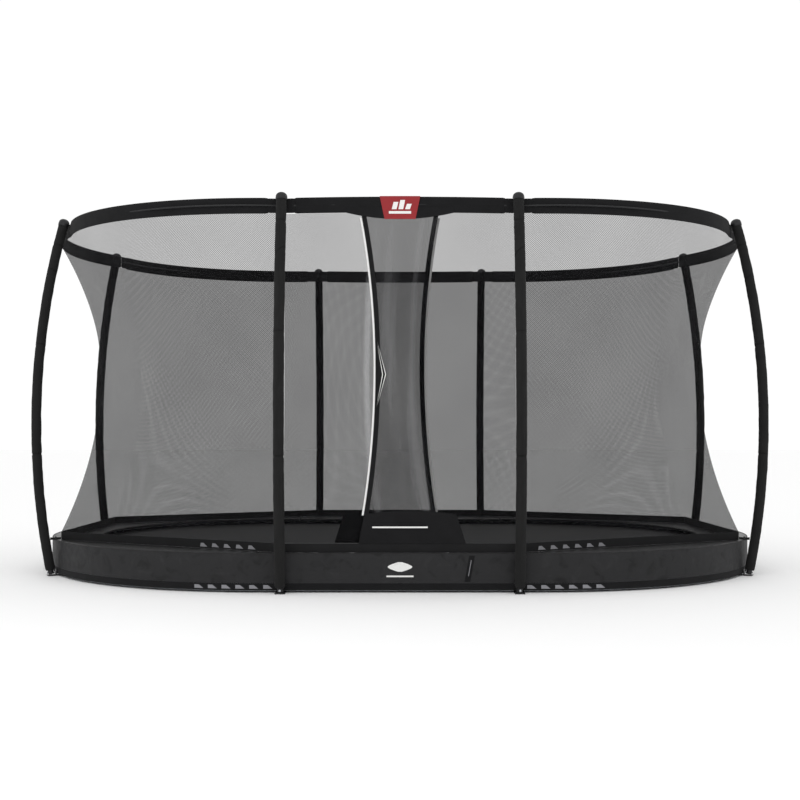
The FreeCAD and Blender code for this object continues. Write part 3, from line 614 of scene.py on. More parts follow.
def finished(obj: Object, material: Material, body: str | None = "frame",
             replaces: tuple[str, ...] = ()) -> Object:
    """Dresses a piece, hangs it on its body and hides the CAD nodes that it stands for.

    Args:
        obj: the piece.
        material: its finish, if it has none yet.
        body: the body it rides on; None leaves it on no body.
        replaces: the CAD nodes that it is shown instead of.

    Returns:
        The piece.
    """
    if not obj.data.materials:
        obj.data.materials.append(material)
    if body:
        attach(obj, body)
    if replaces:
        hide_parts(*replaces)
    log.info("%s: %d faces", obj.name, len(obj.data.polygons))
    return obj


# ------------------------------------------------------------------ the plan that every ring follows
def headings(azimuth: Array) -> tuple[Array, Array]:
    """The x and y of directions given in degrees."""
    turn = np.radians(azimuth)
    return np.cos(turn), np.sin(turn)


@dataclass
class Plan:
    """The oval, the poles and the net's shape, in metres; places come from the CAD boxes."""
    side_angle: float = 27.3
    pole_inset: float = 0.150
    sleeve_radius: float = 0.035
    pole_rise: float = 2.490
    pole_lean: float = 0.090
    pole_bow: float = 0.144
    pole_foot_level: float = 0.012
    sleeve_start: float = 0.030
    band_bulge: float = 0.044
    border_inset: float = 0.030
    corner_pulls: tuple[float, float] = (0.140, 0.240)
    span_pulls: dict[str, float] = field(
        default_factory=lambda: {"front": 0.040, "shoulder": 0.150, "end": 0.270})

    def __post_init__(self) -> None:
        """Reads the straight sides, the reaches and the levels from the CAD boxes."""
        pad_low, pad_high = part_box("edge_pad_front")
        self.straight = pad_high.x
        self.pad_outer, self.pad_inner = -pad_low.y, -pad_high.y
        self.pad_foot, self.pad_top = pad_low.z, pad_high.z
        self.cover = -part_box("pad_skirt")[0].y
        self.mat_reach = -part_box("jump_mat")[0].y
        self.pole_x = self.straight - self.pole_inset
        shoulder = (90 + self.side_angle) / 2
        self.poles = [(-self.pole_x, -90.0), (self.pole_x, -90.0), (self.straight, -self.side_angle),
                      (self.straight, self.side_angle), (self.pole_x, 90.0), (-self.pole_x, 90.0),
                      (-self.straight, 180 - self.side_angle), (-self.straight, 180 + self.side_angle)]
        self.spans = [("front", 0.0, -90.0, "front"), ("front_right", self.straight, -shoulder, "shoulder"),
                      ("right", self.straight, 0.0, "end"), ("rear_right", self.straight, shoulder, "shoulder"),
                      ("rear", 0.0, 90.0, "front"), ("rear_left", -self.straight, 180 - shoulder, "shoulder"),
                      ("left", -self.straight, 180.0, "end"),
                      ("front_left", -self.straight, 180 + shoulder, "shoulder")]
        chord = math.hypot(self.pole_rise, self.pole_lean)
        self.arc = (chord ** 2 / 4 + self.pole_bow ** 2) / (2 * self.pole_bow)
        self.half_angle = math.asin(chord / 2 / self.arc)
        self.tilt = math.atan(self.pole_lean / self.pole_rise)
        widest = -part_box("pole_sleeve_front_left")[0].y - self.sleeve_radius
        self.centre_reach = widest - self.arc
        self.centre_level = (self.pole_foot_level + self.pole_rise / 2
                             - (self.arc - self.pole_bow) * math.sin(self.tilt))
        band_low, band_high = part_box("net_band")
        self.band_foot, self.band_top = band_low.z, band_high.z
        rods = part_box("net_band_rods")
        self.band_middle = (rods[0].z + rods[1].z) / 2
        rod_radius = (rods[1].z - rods[0].z) / 2
        self.band_reach = -rods[0].y - rod_radius - self.band_bulge
        self.border_reach = self.pad_outer - self.border_inset
        self.net_foot, self.net_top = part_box("net_panel_rear")[0].z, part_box("net_panel_rear")[1].z

    def heads(self, share: Array, reach: float) -> tuple[Array, Array]:
        """Goes round the oval from the middle of the rear, left end first.

        Args:
            share: 0 to 1 of the way round.
            reach: the reach that the way is measured at.

        Returns:
            The point on the long axis and the azimuth in degrees, at each share.
        """
        half_turn = math.pi * reach
        way = share * (4 * self.straight + 2 * half_turn)
        knots = np.cumsum([0, self.straight, half_turn, 2 * self.straight, half_turn, self.straight])
        x = np.interp(way, knots, [0, -self.straight, -self.straight, self.straight, self.straight, 0])
        azimuth = np.interp(way, knots, [90, 90, 270, 270, 450, 450])
        return x, azimuth

    def length_at(self, reach: float) -> float:
        """The way round the oval at a reach."""
        return 4 * self.straight + 2 * math.pi * reach

    def spot(self, x: Any, azimuth: Any, reach: Any, level: Any) -> Array:
        """The point at a reach from the long axis."""
        across, along = headings(np.asarray(azimuth, float))
        level = np.asarray(level, float)
        return np.stack(np.broadcast_arrays(x + across * reach, along * reach, level), axis=-1)

    def pole_reach(self, level: Any) -> Any:
        """How far a pole's centre line stands from the long axis at a height."""
        return self.centre_reach + np.sqrt(self.arc ** 2 - (level - self.centre_level) ** 2)

    def band_line(self, span: int, along: Array) -> tuple[Array, Array, float]:
        """The band's bowed centre line between two poles.

        Args:
            span: which span.
            along: 0 to 1 from pole to pole.

        Returns:
            The points at level 0, the outward directions and the line's length.
        """
        _, x, azimuth, _ = self.spans[span]
        start = self.spot(*self.poles[span], self.band_reach, 0.0)
        finish = self.spot(*self.poles[(span + 1) % 8], self.band_reach, 0.0)
        middle = self.spot(x, azimuth, self.band_reach + self.band_bulge, 0.0)
        chord = finish - start
        half = np.linalg.norm(chord) / 2
        foot = (start + finish) / 2
        rise = np.linalg.norm(middle - foot)
        radius = (half ** 2 + rise ** 2) / (2 * rise)
        outwards = (middle - foot) / rise
        centre = middle - outwards * radius
        sweep = 2 * math.asin(half / radius)
        turn = (np.asarray(along) - 0.5) * sweep
        side = chord / np.linalg.norm(chord)
        away = np.cos(turn)[..., None] * outwards + np.sin(turn)[..., None] * side
        return centre + radius * away, away, radius * sweep

    def net_surface(self, span: int, along: Array, rise: Array, inset: float = 0.0) -> Array:
        """A point of the net between two poles.

        Args:
            span: which span.
            along: 0 to 1 from pole to pole.
            rise: 0 to 1 from the net's foot to its top.
            inset: how far inside the outer face.

        Returns:
            The points.
        """
        _, x, azimuth, kind = self.spans[span]
        bend = (4 * rise * (1 - rise))[..., None]
        rise = rise[..., None]
        corners, feet = [], []
        for pole in (span, (span + 1) % 8):
            axis_x, turn = self.poles[pole]
            foot = self.spot(axis_x, turn, self.border_reach, self.net_foot)
            top = self.spot(axis_x, turn, self.band_reach, self.net_top)
            pull = self.corner_pulls[0 if abs(abs(turn) - 90) < 1 else 1]
            inwards = -self.spot(0.0, turn, 1.0, 0.0)
            corners.append(foot * (1 - rise) + top * rise + inwards * bend * pull)
            feet.append(foot)
        inwards = -self.spot(0.0, azimuth, 1.0, 0.0)
        top = self.spot(x, azimuth, self.band_reach + self.band_bulge, self.net_top)
        middle = (feet[0] + feet[1]) / 2 * (1 - rise) + top * rise + inwards * bend * self.span_pulls[kind]
        share = along[..., None]
        line = corners[0] * (1 - share) + corners[1] * share
        return line + 4 * share * (1 - share) * (middle - (corners[0] + corners[1]) / 2) \
            + inwards * np.asarray(inset)[..., None]


# ------------------------------------------------------------------ safety net
@dataclass
class SafetyNet:
    """The knitted net in eight spans; the front one is two layers that overlap at the entrance."""
    plan: Plan
    net: Material
    slack_net: Material
    shoulder_net: Material
    columns: int = 64
    rows: int = 84
    flutter: float = 0.004
    layer_gap: float = 0.024
    tuck: float = 0.009
    edge_levels: tuple[float, ...] = (0.3085, 0.49, 0.96, 1.40, 1.85, 2.16, 2.396)
    edge_widths: tuple[float, ...] = (0.262, 0.228, 0.173, 0.154, 0.173, 0.206, 0.246)
    hinge_foot_x: float = 0.420
    hinge_top_x: float = 0.242
    fold_half: float = 0.03

    def edge_x(self, level: Array) -> Array:
        """Half the entrance's width at a height: the loose edges stand this far from the middle."""
        fitted = np.polynomial.Polynomial.fit(self.edge_levels, self.edge_widths, 5)
        return fitted(level)

    def fold_x(self, level: Array) -> Array:
        """How far the outer layer's fold line stands to the right at a height."""
        rise = (level - self.plan.net_foot) / (self.plan.net_top - self.plan.net_foot)
        return self.hinge_foot_x - rise * (self.hinge_foot_x + self.hinge_top_x)

    def front_point(self, x: Array, level: Array, inset: float) -> Array:
        """The front net's point at an x and a height."""
        rise = (level - self.plan.net_foot) / (self.plan.net_top - self.plan.net_foot)
        along = (x + self.plan.pole_x) / (2 * self.plan.pole_x)
        return self.plan.net_surface(0, along, rise, inset)

    def build(self) -> None:
        """Makes the seven plain spans and the two layers of the front."""
        for span in range(1, 8):
            self.plain_span(span)
        self.front_layer("outer", 1, 0.0, "net_front_right")
        self.front_layer("inner", -1, self.layer_gap, "net_front_left")

    def plain_span(self, span: int) -> None:
        """One span from pole to pole, with slow flutter."""
        name = self.plan.spans[span][0]
        length = self.plan.band_line(span, np.array([0.5]))[2]
        height = self.plan.net_top - self.plan.net_foot
        waves = unit_waves(20 + span, 7, 0.5, 1.6)
        inwards = -self.plan.spot(0.0, self.plan.spans[span][2], 1.0, 0.0)

        def places(u: Array, v: Array) -> Trio:
            """The net between two poles, with its flutter."""
            found = self.plan.net_surface(span, u, v * (1 + self.tuck / height), 0.001)
            held = np.clip(4 * v * (1 - v), 0, 1) * np.clip(8 * u * (1 - u), 0, 1)
            found = found + inwards * (waves(u * length, v * height) * self.flutter * held)[:, None]
            return tuple(found.T)

        sheet = cloth_grid(f"net_span_{name}", self.columns, self.rows, length, height, places)
        smooth(sheet)
        material = self.shoulder_net if self.plan.spans[span][3] == "shoulder" else self.net
        finished(sheet, material, "frame", (f"net_panel_{name}",))

    def front_layer(self, name: str, side: int, inset: float, sewn: str) -> None:
        """One layer of the front, from its pole to its loose edge.

        Args:
            name: outer or inner.
            side: +1 for the layer sewn to the right pole, -1 for the left.
            inset: how far inside the net's outer face.
            sewn: the CAD node of its sewn part.
        """
        plan = self.plan
        height = plan.net_top - plan.net_foot
        width = plan.pole_x + self.edge_widths[0]
        waves = unit_waves(40 + side, 6, 0.35, 1.1)

        def places(u: Array, v: Array) -> Trio:
            """The layer from its pole to its loose edge."""
            level = plan.net_foot + v * (height + self.tuck)
            near, far = side * plan.pole_x * 0.997, -side * self.edge_x(level)
            x = near + (far - near) * u
            found = self.front_point(x, level, inset + 0.001)
            held = np.clip(4 * v * (1 - v), 0, 1) * np.clip(6 * u * (1 - u), 0, 1)
            found[:, 1] += waves(x, level) * self.flutter * held
            return tuple(found.T)

        sheet = cloth_grid(f"net_front_{name}_layer", self.columns, self.rows, width, height, places)
        smooth(sheet)
        finished(sheet, self.net if side > 0 else self.slack_net, None, (sewn, f"net_flap_{name}"))
        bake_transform(sheet)


@dataclass
class Entrance:
    """The trim of the entrance: bound loose edges with piping, cloth foot panels and the pull tag."""
    net: SafetyNet
    cloth: Material
    piping_white: Material
    piping_pale: Material
    print_white: Material
    tape_width: float = 0.030
    piping_radius: float = 0.0065
    piping_stop: float = 0.026
    kick_level: float = 0.490
    kick_crown: float = 0.026
    tag_level: float = 1.378
    tag_half: float = 0.110
    tag_width: float = 0.058
    panel_width: float = 0.62
    panel_foot_width: float = 0.70
    line_level: float = 0.405
    line_wide: float = 0.350
    line_tall: float = 0.010

    def build(self) -> None:
        """Dresses the outer flap outside and the inner flap inside."""
        for name, side, inset, facing in (("outer", -1, 0.0, -1.0), ("inner", 1, self.net.layer_gap, 1.0)):
            self.tape(name, side, inset, facing)
            self.piping(name, side, inset)
            self.foot_panel(name, side, inset, facing)
        self.pull_tag()

    def layer_point(self, x: Array, level: Array, inset: float, facing: float, clear: float) -> Array:
        """A point standing clear of one layer, outside it (-1) or inside it (+1)."""
        return self.net.front_point(x, level, inset + 0.001 + facing * clear)

    def tape(self, name: str, side: int, inset: float, facing: float) -> None:
        """The cloth tape that binds a loose edge.

        Args:
            name: outer or inner.
            side: the side of the loose edge, -1 left or +1 right.
            inset: how far inside the net's outer face its layer lies.
            facing: -1 for the layer's outside, +1 for its inside.
        """
        plan = self.net.plan
        height = plan.net_top - plan.net_foot

        def places(u: Array, v: Array) -> Trio:
            """The tape on the loose edge, slightly puffed."""
            level = plan.net_foot + v * height
            x = side * (self.net.edge_x(level) - u * self.tape_width)
            puff = 0.0012 * np.sin(math.pi * u) + 0.0004 * np.sin(level * 260) * np.sin(math.pi * u)
            return tuple(self.layer_point(x, level, inset, facing, 0.0022 + puff).T)

        tape = thicken(cloth_grid(f"edge_tape_{name}", 8, 260, self.tape_width, height, places), 0.0012)
        smooth(weld(tape))
        finished(tape, self.cloth, f"{name}_flap")

    def piping(self, name: str, side: int, inset: float) -> None:
        """The round piping along a loose edge, from the foot panel's top up to the band.

        Args:
            name: outer or inner.
            side: the side of the loose edge, -1 left or +1 right.
            inset: how far inside the net's outer face its layer lies.
        """
        low = self.kick_level - 0.006
        height = self.net.plan.net_top - self.piping_stop - low

        def places(u: Array, v: Array) -> Trio:
            """The round cord outside the loose edge."""
            level = low + v * height
            swell = self.piping_radius * (1 + 0.05 * np.sin(level * 420))
            x = side * (self.net.edge_x(level) + self.piping_radius + 0.0005)
            found = self.net.front_point(x, level, inset + 0.001)
            turn = 2 * math.pi * u
            return (found[:, 0] + swell * np.cos(turn), found[:, 1] - swell * np.sin(turn), found[:, 2])

        round_way = 2 * math.pi * self.piping_radius
        cord = weld(cloth_grid(f"edge_piping_{name}", 10, 400, round_way, height, places))
        smooth(close_ends(cord))
        finished(cord, self.piping_white if name == "outer" else self.piping_pale, f"{name}_flap",
                 (f"flap_edging_{name}",))

    def foot_panel(self, name: str, side: int, inset: float, facing: float) -> None:
        """The cloth foot panel, crowned at its top; the outer one carries a plain printed line.

        Args:
            name: outer or inner.
            side: the side of the flap's loose edge, -1 left or +1 right.
            inset: how far inside the net's outer face its layer lies.
            facing: -1 for the layer's outside, +1 for its inside.
        """
        plan = self.net.plan

        def places(u: Array, v: Array) -> Trio:
            """The panel from the fold to the loose edge, a little slack."""
            top = self.kick_level + self.kick_crown * np.sin(math.pi * u)
            level = plan.net_foot + v * (top - plan.net_foot)
            near = side * (self.net.edge_x(level) - 0.002)
            far = -side * (self.net.fold_x(level) - 0.004)
            x = near + (far - near) * u
            slack = 0.003 * np.sin(math.pi * u) * np.sin(math.pi * v) * np.sin(7 * u + 2.2 * v)
            return tuple(self.layer_point(x, level, inset, facing, 0.0062 + slack).T)

        width, height = self.panel_width, self.kick_level - plan.net_foot
        panel = thicken(cloth_grid(f"foot_panel_{name}", 60, 16, width, height, places), 0.0016)
        smooth(weld(panel))
        finished(panel, self.cloth, f"{name}_flap", (f"flap_foot_panel_{name}",))
        if name == "outer":
            def bar(u: Array, v: Array) -> Trio:
                """A plain line across the panel."""
                level = self.line_level + v * self.line_tall
                return tuple(self.layer_point((u - 0.5) * self.line_wide, level, inset, facing, 0.0115).T)
            grid = cloth_grid("foot_panel_stripe", 40, 2, self.line_wide, self.line_tall, bar)
            stripe = thicken(grid, 0.0006)
            smooth(weld(stripe))
            finished(stripe, self.print_white, "outer_flap")

    def pull_tag(self) -> None:
        """A three-cornered tag by the outer edge, with pale sewn chevrons that point to the opening."""
        def placed(clear: float, shrink: float, low: float, high: float) -> Places:
            """A three-cornered strip between two shares of the tag's reach."""
            def places(u: Array, v: Array) -> Trio:
                """Its place, clear of the outer layer."""
                swing = 2 * v - 1
                level = self.tag_level + swing * self.tag_half * 2 * shrink
                edge = -(self.net.edge_x(level) - self.tape_width * 0.35)
                reach = self.tag_width * (1 - np.abs(swing)) * shrink
                x = edge + reach * (low + (high - low) * u)
                return tuple(self.layer_point(x, level, 0.0, -1.0, clear).T)
            return places

        tag = thicken(cloth_grid("pull_tag", 10, 40, self.tag_width, 4 * self.tag_half,
                                 placed(0.0078, 1.0, 0.0, 1.0)), 0.0016)
        smooth(weld(tag))
        finished(tag, self.cloth, "outer_flap", ("flap_pull_tag",))
        marks = []
        for low, high, shrink in ((0.90, 0.99, 0.97), (0.60, 0.70, 0.90)):
            mark = cloth_grid("mark", 3, 40, 0.01, 0.4, placed(0.0095, shrink, low, high))
            marks.append(thicken(mark, 0.0005))
        chevrons = smooth(weld(join("pull_tag_chevrons", marks)))
        finished(chevrons, self.print_white, "outer_flap")


# ------------------------------------------------------------------ poles
@dataclass
class Poles:
    """Eight bowed poles in foam and cloth sleeves, with moulded caps."""
    plan: Plan
    cloth: Material
    plastic: Material
    around: int = 28
    along: int = 190
    cap_radius: float = 0.0375
    cap_skirt: float = 0.026
    cap_dome: float = 0.027
    seam_levels: tuple[float, ...] = (2.334, 1.62, 0.86)
    wrap_level: float = 2.126
    wrap_swing: float = 0.030
    long_seam: float = 0.62
    names: tuple[str, ...] = ("front_left", "front_right", "right_front", "right_rear",
                              "rear_right", "rear_left", "left_rear", "left_front")

    def build(self) -> None:
        """Makes each pole's sleeve, then one cap and a copy of it at each pole."""
        for number, name in enumerate(self.names):
            self.sleeve(number, name)
        cap = self.cap()
        caps = []
        for number, (x, azimuth) in enumerate(self.plan.poles):
            caps.append(copy_of(cap, f"cap_{number}", round_oval(x, azimuth)))
        bpy.data.objects.remove(cap)
        finished(join("pole_caps", caps), self.plastic, "frame", ("pole_end_caps",))

    def sleeve(self, number: int, name: str) -> None:
        """One sleeve: round foam with joint seams, a wrapped seam near the top and soft dents.

        Args:
            number: which pole.
            name: the pole's name.
        """
        plan = self.plan
        x0, azimuth = plan.poles[number]
        waves = unit_waves(60 + number, 8, 0.03, 0.22)
        trim = plan.sleeve_start / plan.arc
        start_angle = -plan.half_angle + trim

        def places(u: Array, v: Array) -> Trio:
            """The bowed tube, drawn in at its seams and ends."""
            bend = start_angle + v * (2 * plan.half_angle - trim)
            turn = bend + plan.tilt
            reach = plan.centre_reach + plan.arc * np.cos(turn)
            level = plan.centre_level + plan.arc * np.sin(turn)
            way = 2 * math.pi * u
            dents = waves(u * 2 * math.pi * plan.sleeve_radius, v * 2.5)
            radius = plan.sleeve_radius - 0.0012 - 0.0009 * dents
            for seam in self.seam_levels:
                radius = radius - 0.0035 * crest(level, seam, 0.005)
            wrap = self.wrap_level + self.wrap_swing * np.cos(way - math.radians(60))
            radius = radius - 0.0028 * crest(level, wrap, 0.004)
            lengthwise = np.minimum(np.abs(u - self.long_seam), 1 - np.abs(u - self.long_seam))
            radius = radius - 0.0022 * crest(lengthwise, 0.0, 0.012)
            lip = np.clip(np.minimum(v, 1 - v) / 0.004, 0, 1)
            radius = radius * (0.88 + 0.12 * np.sqrt(lip))
            side = radius * np.sin(way)
            out = radius * np.cos(way)
            r = reach + out * np.cos(turn)
            z = level + out * np.sin(turn)
            across, along = headings(np.full_like(u, azimuth))
            return (x0 + across * r - along * side, along * r + across * side, z)

        length = plan.arc * (2 * plan.half_angle - trim)
        round_way = 2 * math.pi * plan.sleeve_radius
        tube = cloth_grid(f"sleeve_{name}", self.around, self.along, round_way, length, places)
        weld(tube)
        smooth(close_ends(tube))
        finished(tube, self.cloth, "frame", (f"pole_sleeve_{name}",))

    def cap(self) -> Object:
        """A moulded cap on the pole at azimuth 0: a dome over a skirt with a rolled lip and a raised ring."""
        deselect()
        bpy.ops.mesh.primitive_uv_sphere_add(segments=32, ring_count=16, radius=1.0)
        cap = bpy.context.active_object
        with editing(cap) as shape:
            for vertex in shape.verts:
                vertex.select_set(vertex.co.z < -0.01)
            shape.select_flush_mode()
            bpy.ops.mesh.delete(type="VERT")
        with editing(cap) as shape:
            for edge in shape.edges:
                edge.select_set(edge.is_boundary)
            for drop in (0.35, 0.55, 0.10):
                bpy.ops.mesh.extrude_edges_move(TRANSFORM_OT_translate={"value": (0, 0, -drop)})
        points = coordinates(cap)
        ring = (points[:, 2] < -0.3) & (points[:, 2] > -0.4)
        points[ring, :2] *= 1.03
        up = points[:, 2] > 0
        points[:, :2] *= self.cap_radius - 0.0008
        points[:, 2] = np.where(up, points[:, 2] * self.cap_dome, points[:, 2] * self.cap_skirt)
        move_to(cap, points)
        thicken(cap, 0.0022, -1.0)
        plan = self.plan
        lean = plan.half_angle + plan.tilt
        reach = plan.centre_reach + plan.arc * math.cos(lean)
        level = plan.centre_level + plan.arc * math.sin(lean)
        cap.data.transform(Matrix.Translation((reach, 0, level)) @ Matrix.Rotation(-lean, 4, "Y"))
        cap.data.materials.append(self.plastic)
        return smooth(weld(cap), 40)


# ------------------------------------------------------------------ net band, border and straps
@dataclass
class NetBand:
    """The padded band round the net's top, its thin cuffs beside the poles, the visor and the badge."""
    plan: Plan
    cloth: Material
    badge_red: Material
    print_white: Material
    stop: float = 0.080
    thick: float = 0.016
    cuff_thick: float = 0.0136
    cuff_tall: float = 0.096
    visor_half: float = 0.340
    visor_drop: float = 0.042
    badge_tall: float = 0.146
    badge_top_half: float = 0.1285
    badge_foot_half: float = 0.098
    emblem_bars: tuple[tuple[float, ...], ...] = (
        (-0.070, 0.140, -0.112, 0.016, 0.0), (-0.052, 0.030, -0.084, 0.046, 0.012),
        (-0.010, 0.030, -0.084, 0.058, 0.012), (0.032, 0.030, -0.084, 0.034, 0.012))

    def build(self) -> None:
        """Makes each span's padded length and cuffs, then dresses the front one."""
        sections, cuffs = [], []
        for span in range(8):
            length = self.plan.band_line(span, np.array([0.5]))[2]
            stop = self.stop / length
            sections.append(self.section(span, stop, 1 - stop, self.thick, self.plan.band_foot,
                                         self.plan.band_top, 96, True))
            tall = self.cuff_tall / 2
            for low, high in ((0.003 / length, stop + 0.003), (1 - stop - 0.003, 1 - 0.003 / length)):
                cuffs.append(self.section(span, low, high, self.cuff_thick, self.plan.band_middle - tall,
                                          self.plan.band_middle + tall, 8, False))
        for name, parts, node, fill in (("net_band_padding", sections, "net_band", 0.7),
                                        ("net_band_sleeves", cuffs, "net_band_cuffs", 0.5)):
            finished(join(name, parts), self.cloth, "frame", (node,))
        self.visor()
        self.badge()

    def section(self, span: int, low: float, high: float, thick: float, foot: float, top: float,
                steps: int, stitched: bool) -> Object:
        """A padded length: a pillow-shaped cross-section along the band's line, closed at its ends.

        Args:
            span: which span.
            low: where it starts, as a share of the span.
            high: where it ends.
            thick: front to back.
            foot: its lower level.
            top: its upper level.
            steps: faces along it.
            stitched: True for the sewn row under the top and over the foot.

        Returns:
            The object.
        """
        length = self.plan.band_line(span, np.array([0.5]))[2] * (high - low)
        middle, half = (foot + top) / 2, (top - foot) / 2
        waves = unit_waves(90 + span, 8, 0.06, 0.40)

        def places(u: Array, v: Array) -> Trio:
            """The pillow-shaped tube along the band's line."""
            points, away, _ = self.plan.band_line(span, low + u * (high - low))
            turn = 2 * math.pi * v
            rise = np.sign(np.sin(turn)) * np.abs(np.sin(turn)) ** 0.55
            side = np.sign(np.cos(turn)) * np.abs(np.cos(turn)) ** 0.62
            end = np.clip(np.minimum(u, 1 - u) * length / 0.012, 0, 1) ** 0.5
            fat = thick / 2 * (0.90 + 0.08 * waves(u * length, rise * half))
            if stitched:
                row = crest(np.abs(rise), 0.80, 0.035)
                fat = fat * (1 - 0.24 * row) * (0.94 + 0.06 * np.cos(u * length * 2 * math.pi / 0.17))
            out = side * fat * (0.25 + 0.75 * end)
            level = middle + rise * (half - 0.0015) * (0.93 + 0.07 * end)
            found = points + away * out[:, None]
            return (found[:, 0], found[:, 1], level)

        strip = weld(cloth_grid("band_part", steps, 32, length, 2 * (top - foot), places))
        return smooth(close_ends(strip), 60)

    def front_point(self, x: Array, level: Array, clear: float) -> Trio:
        """A point standing clear of the front band, at an x and a height."""
        length = 2 * self.plan.pole_x
        along = (x + self.plan.pole_x) / length
        points, away, _ = self.plan.band_line(0, along)
        found = points + away * (self.thick / 2 + np.asarray(clear))[..., None]
        return found[:, 0], found[:, 1], level

    def visor(self) -> None:
        """The dropped cloth over the entrance, with a bound lower hem."""
        foot = self.plan.band_foot

        def places(u: Array, v: Array) -> Trio:
            """The cloth on the band's front, deeper in the middle."""
            x = (2 * u - 1) * self.visor_half
            low = foot - self.visor_drop * (1 - (2 * u - 1) ** 2)
            level = low + v * (foot + 0.034 - low)
            hem = 0.0016 * crest(level - low, 0.004, 0.004)
            ease = 0.0008 * np.sin(u * 40) * (1 - v)
            return self.front_point(x, level, 0.0018 + hem + ease)

        sheet = thicken(cloth_grid("entrance_visor_cloth", 90, 16, 2 * self.visor_half, 0.06, places), 0.0014)
        smooth(weld(sheet))
        finished(sheet, self.cloth, "frame", ("entrance_visor",))

    def badge(self) -> None:
        """A red four-sided badge with a plain pale emblem: three upright bars on a flat one."""
        top = self.plan.band_top

        def face(clear: float, shrink: float) -> Places:
            """The badge's outline, at a size and standing clear of the band."""
            def places(u: Array, v: Array) -> Trio:
                """Its place on the band's front."""
                half = (self.badge_foot_half + (self.badge_top_half - self.badge_foot_half) * v) * shrink
                level = top - self.badge_tall + self.badge_tall * (0.5 + (v - 0.5) * shrink)
                return self.front_point((2 * u - 1) * half, level, clear)
            return places

        patch = thicken(cloth_grid("badge_patch", 24, 14, 0.24, self.badge_tall, face(0.0040, 0.995)), 0.0014)
        smooth(weld(patch))
        finished(patch, self.badge_red, "frame", ("front_badge",))
        marks = []
        for left, wide, low, tall, lean in self.emblem_bars:
            def bar(u: Array, v: Array) -> Trio:
                """One bar of the emblem."""
                return self.front_point(left + wide * u + lean * v, top + low + tall * v, 0.0056)
            marks.append(thicken(cloth_grid("mark", 6, 4, wide, tall, bar), 0.0006))
        emblem = smooth(weld(join("badge_emblem", marks)))
        finished(emblem, self.print_white, "frame")


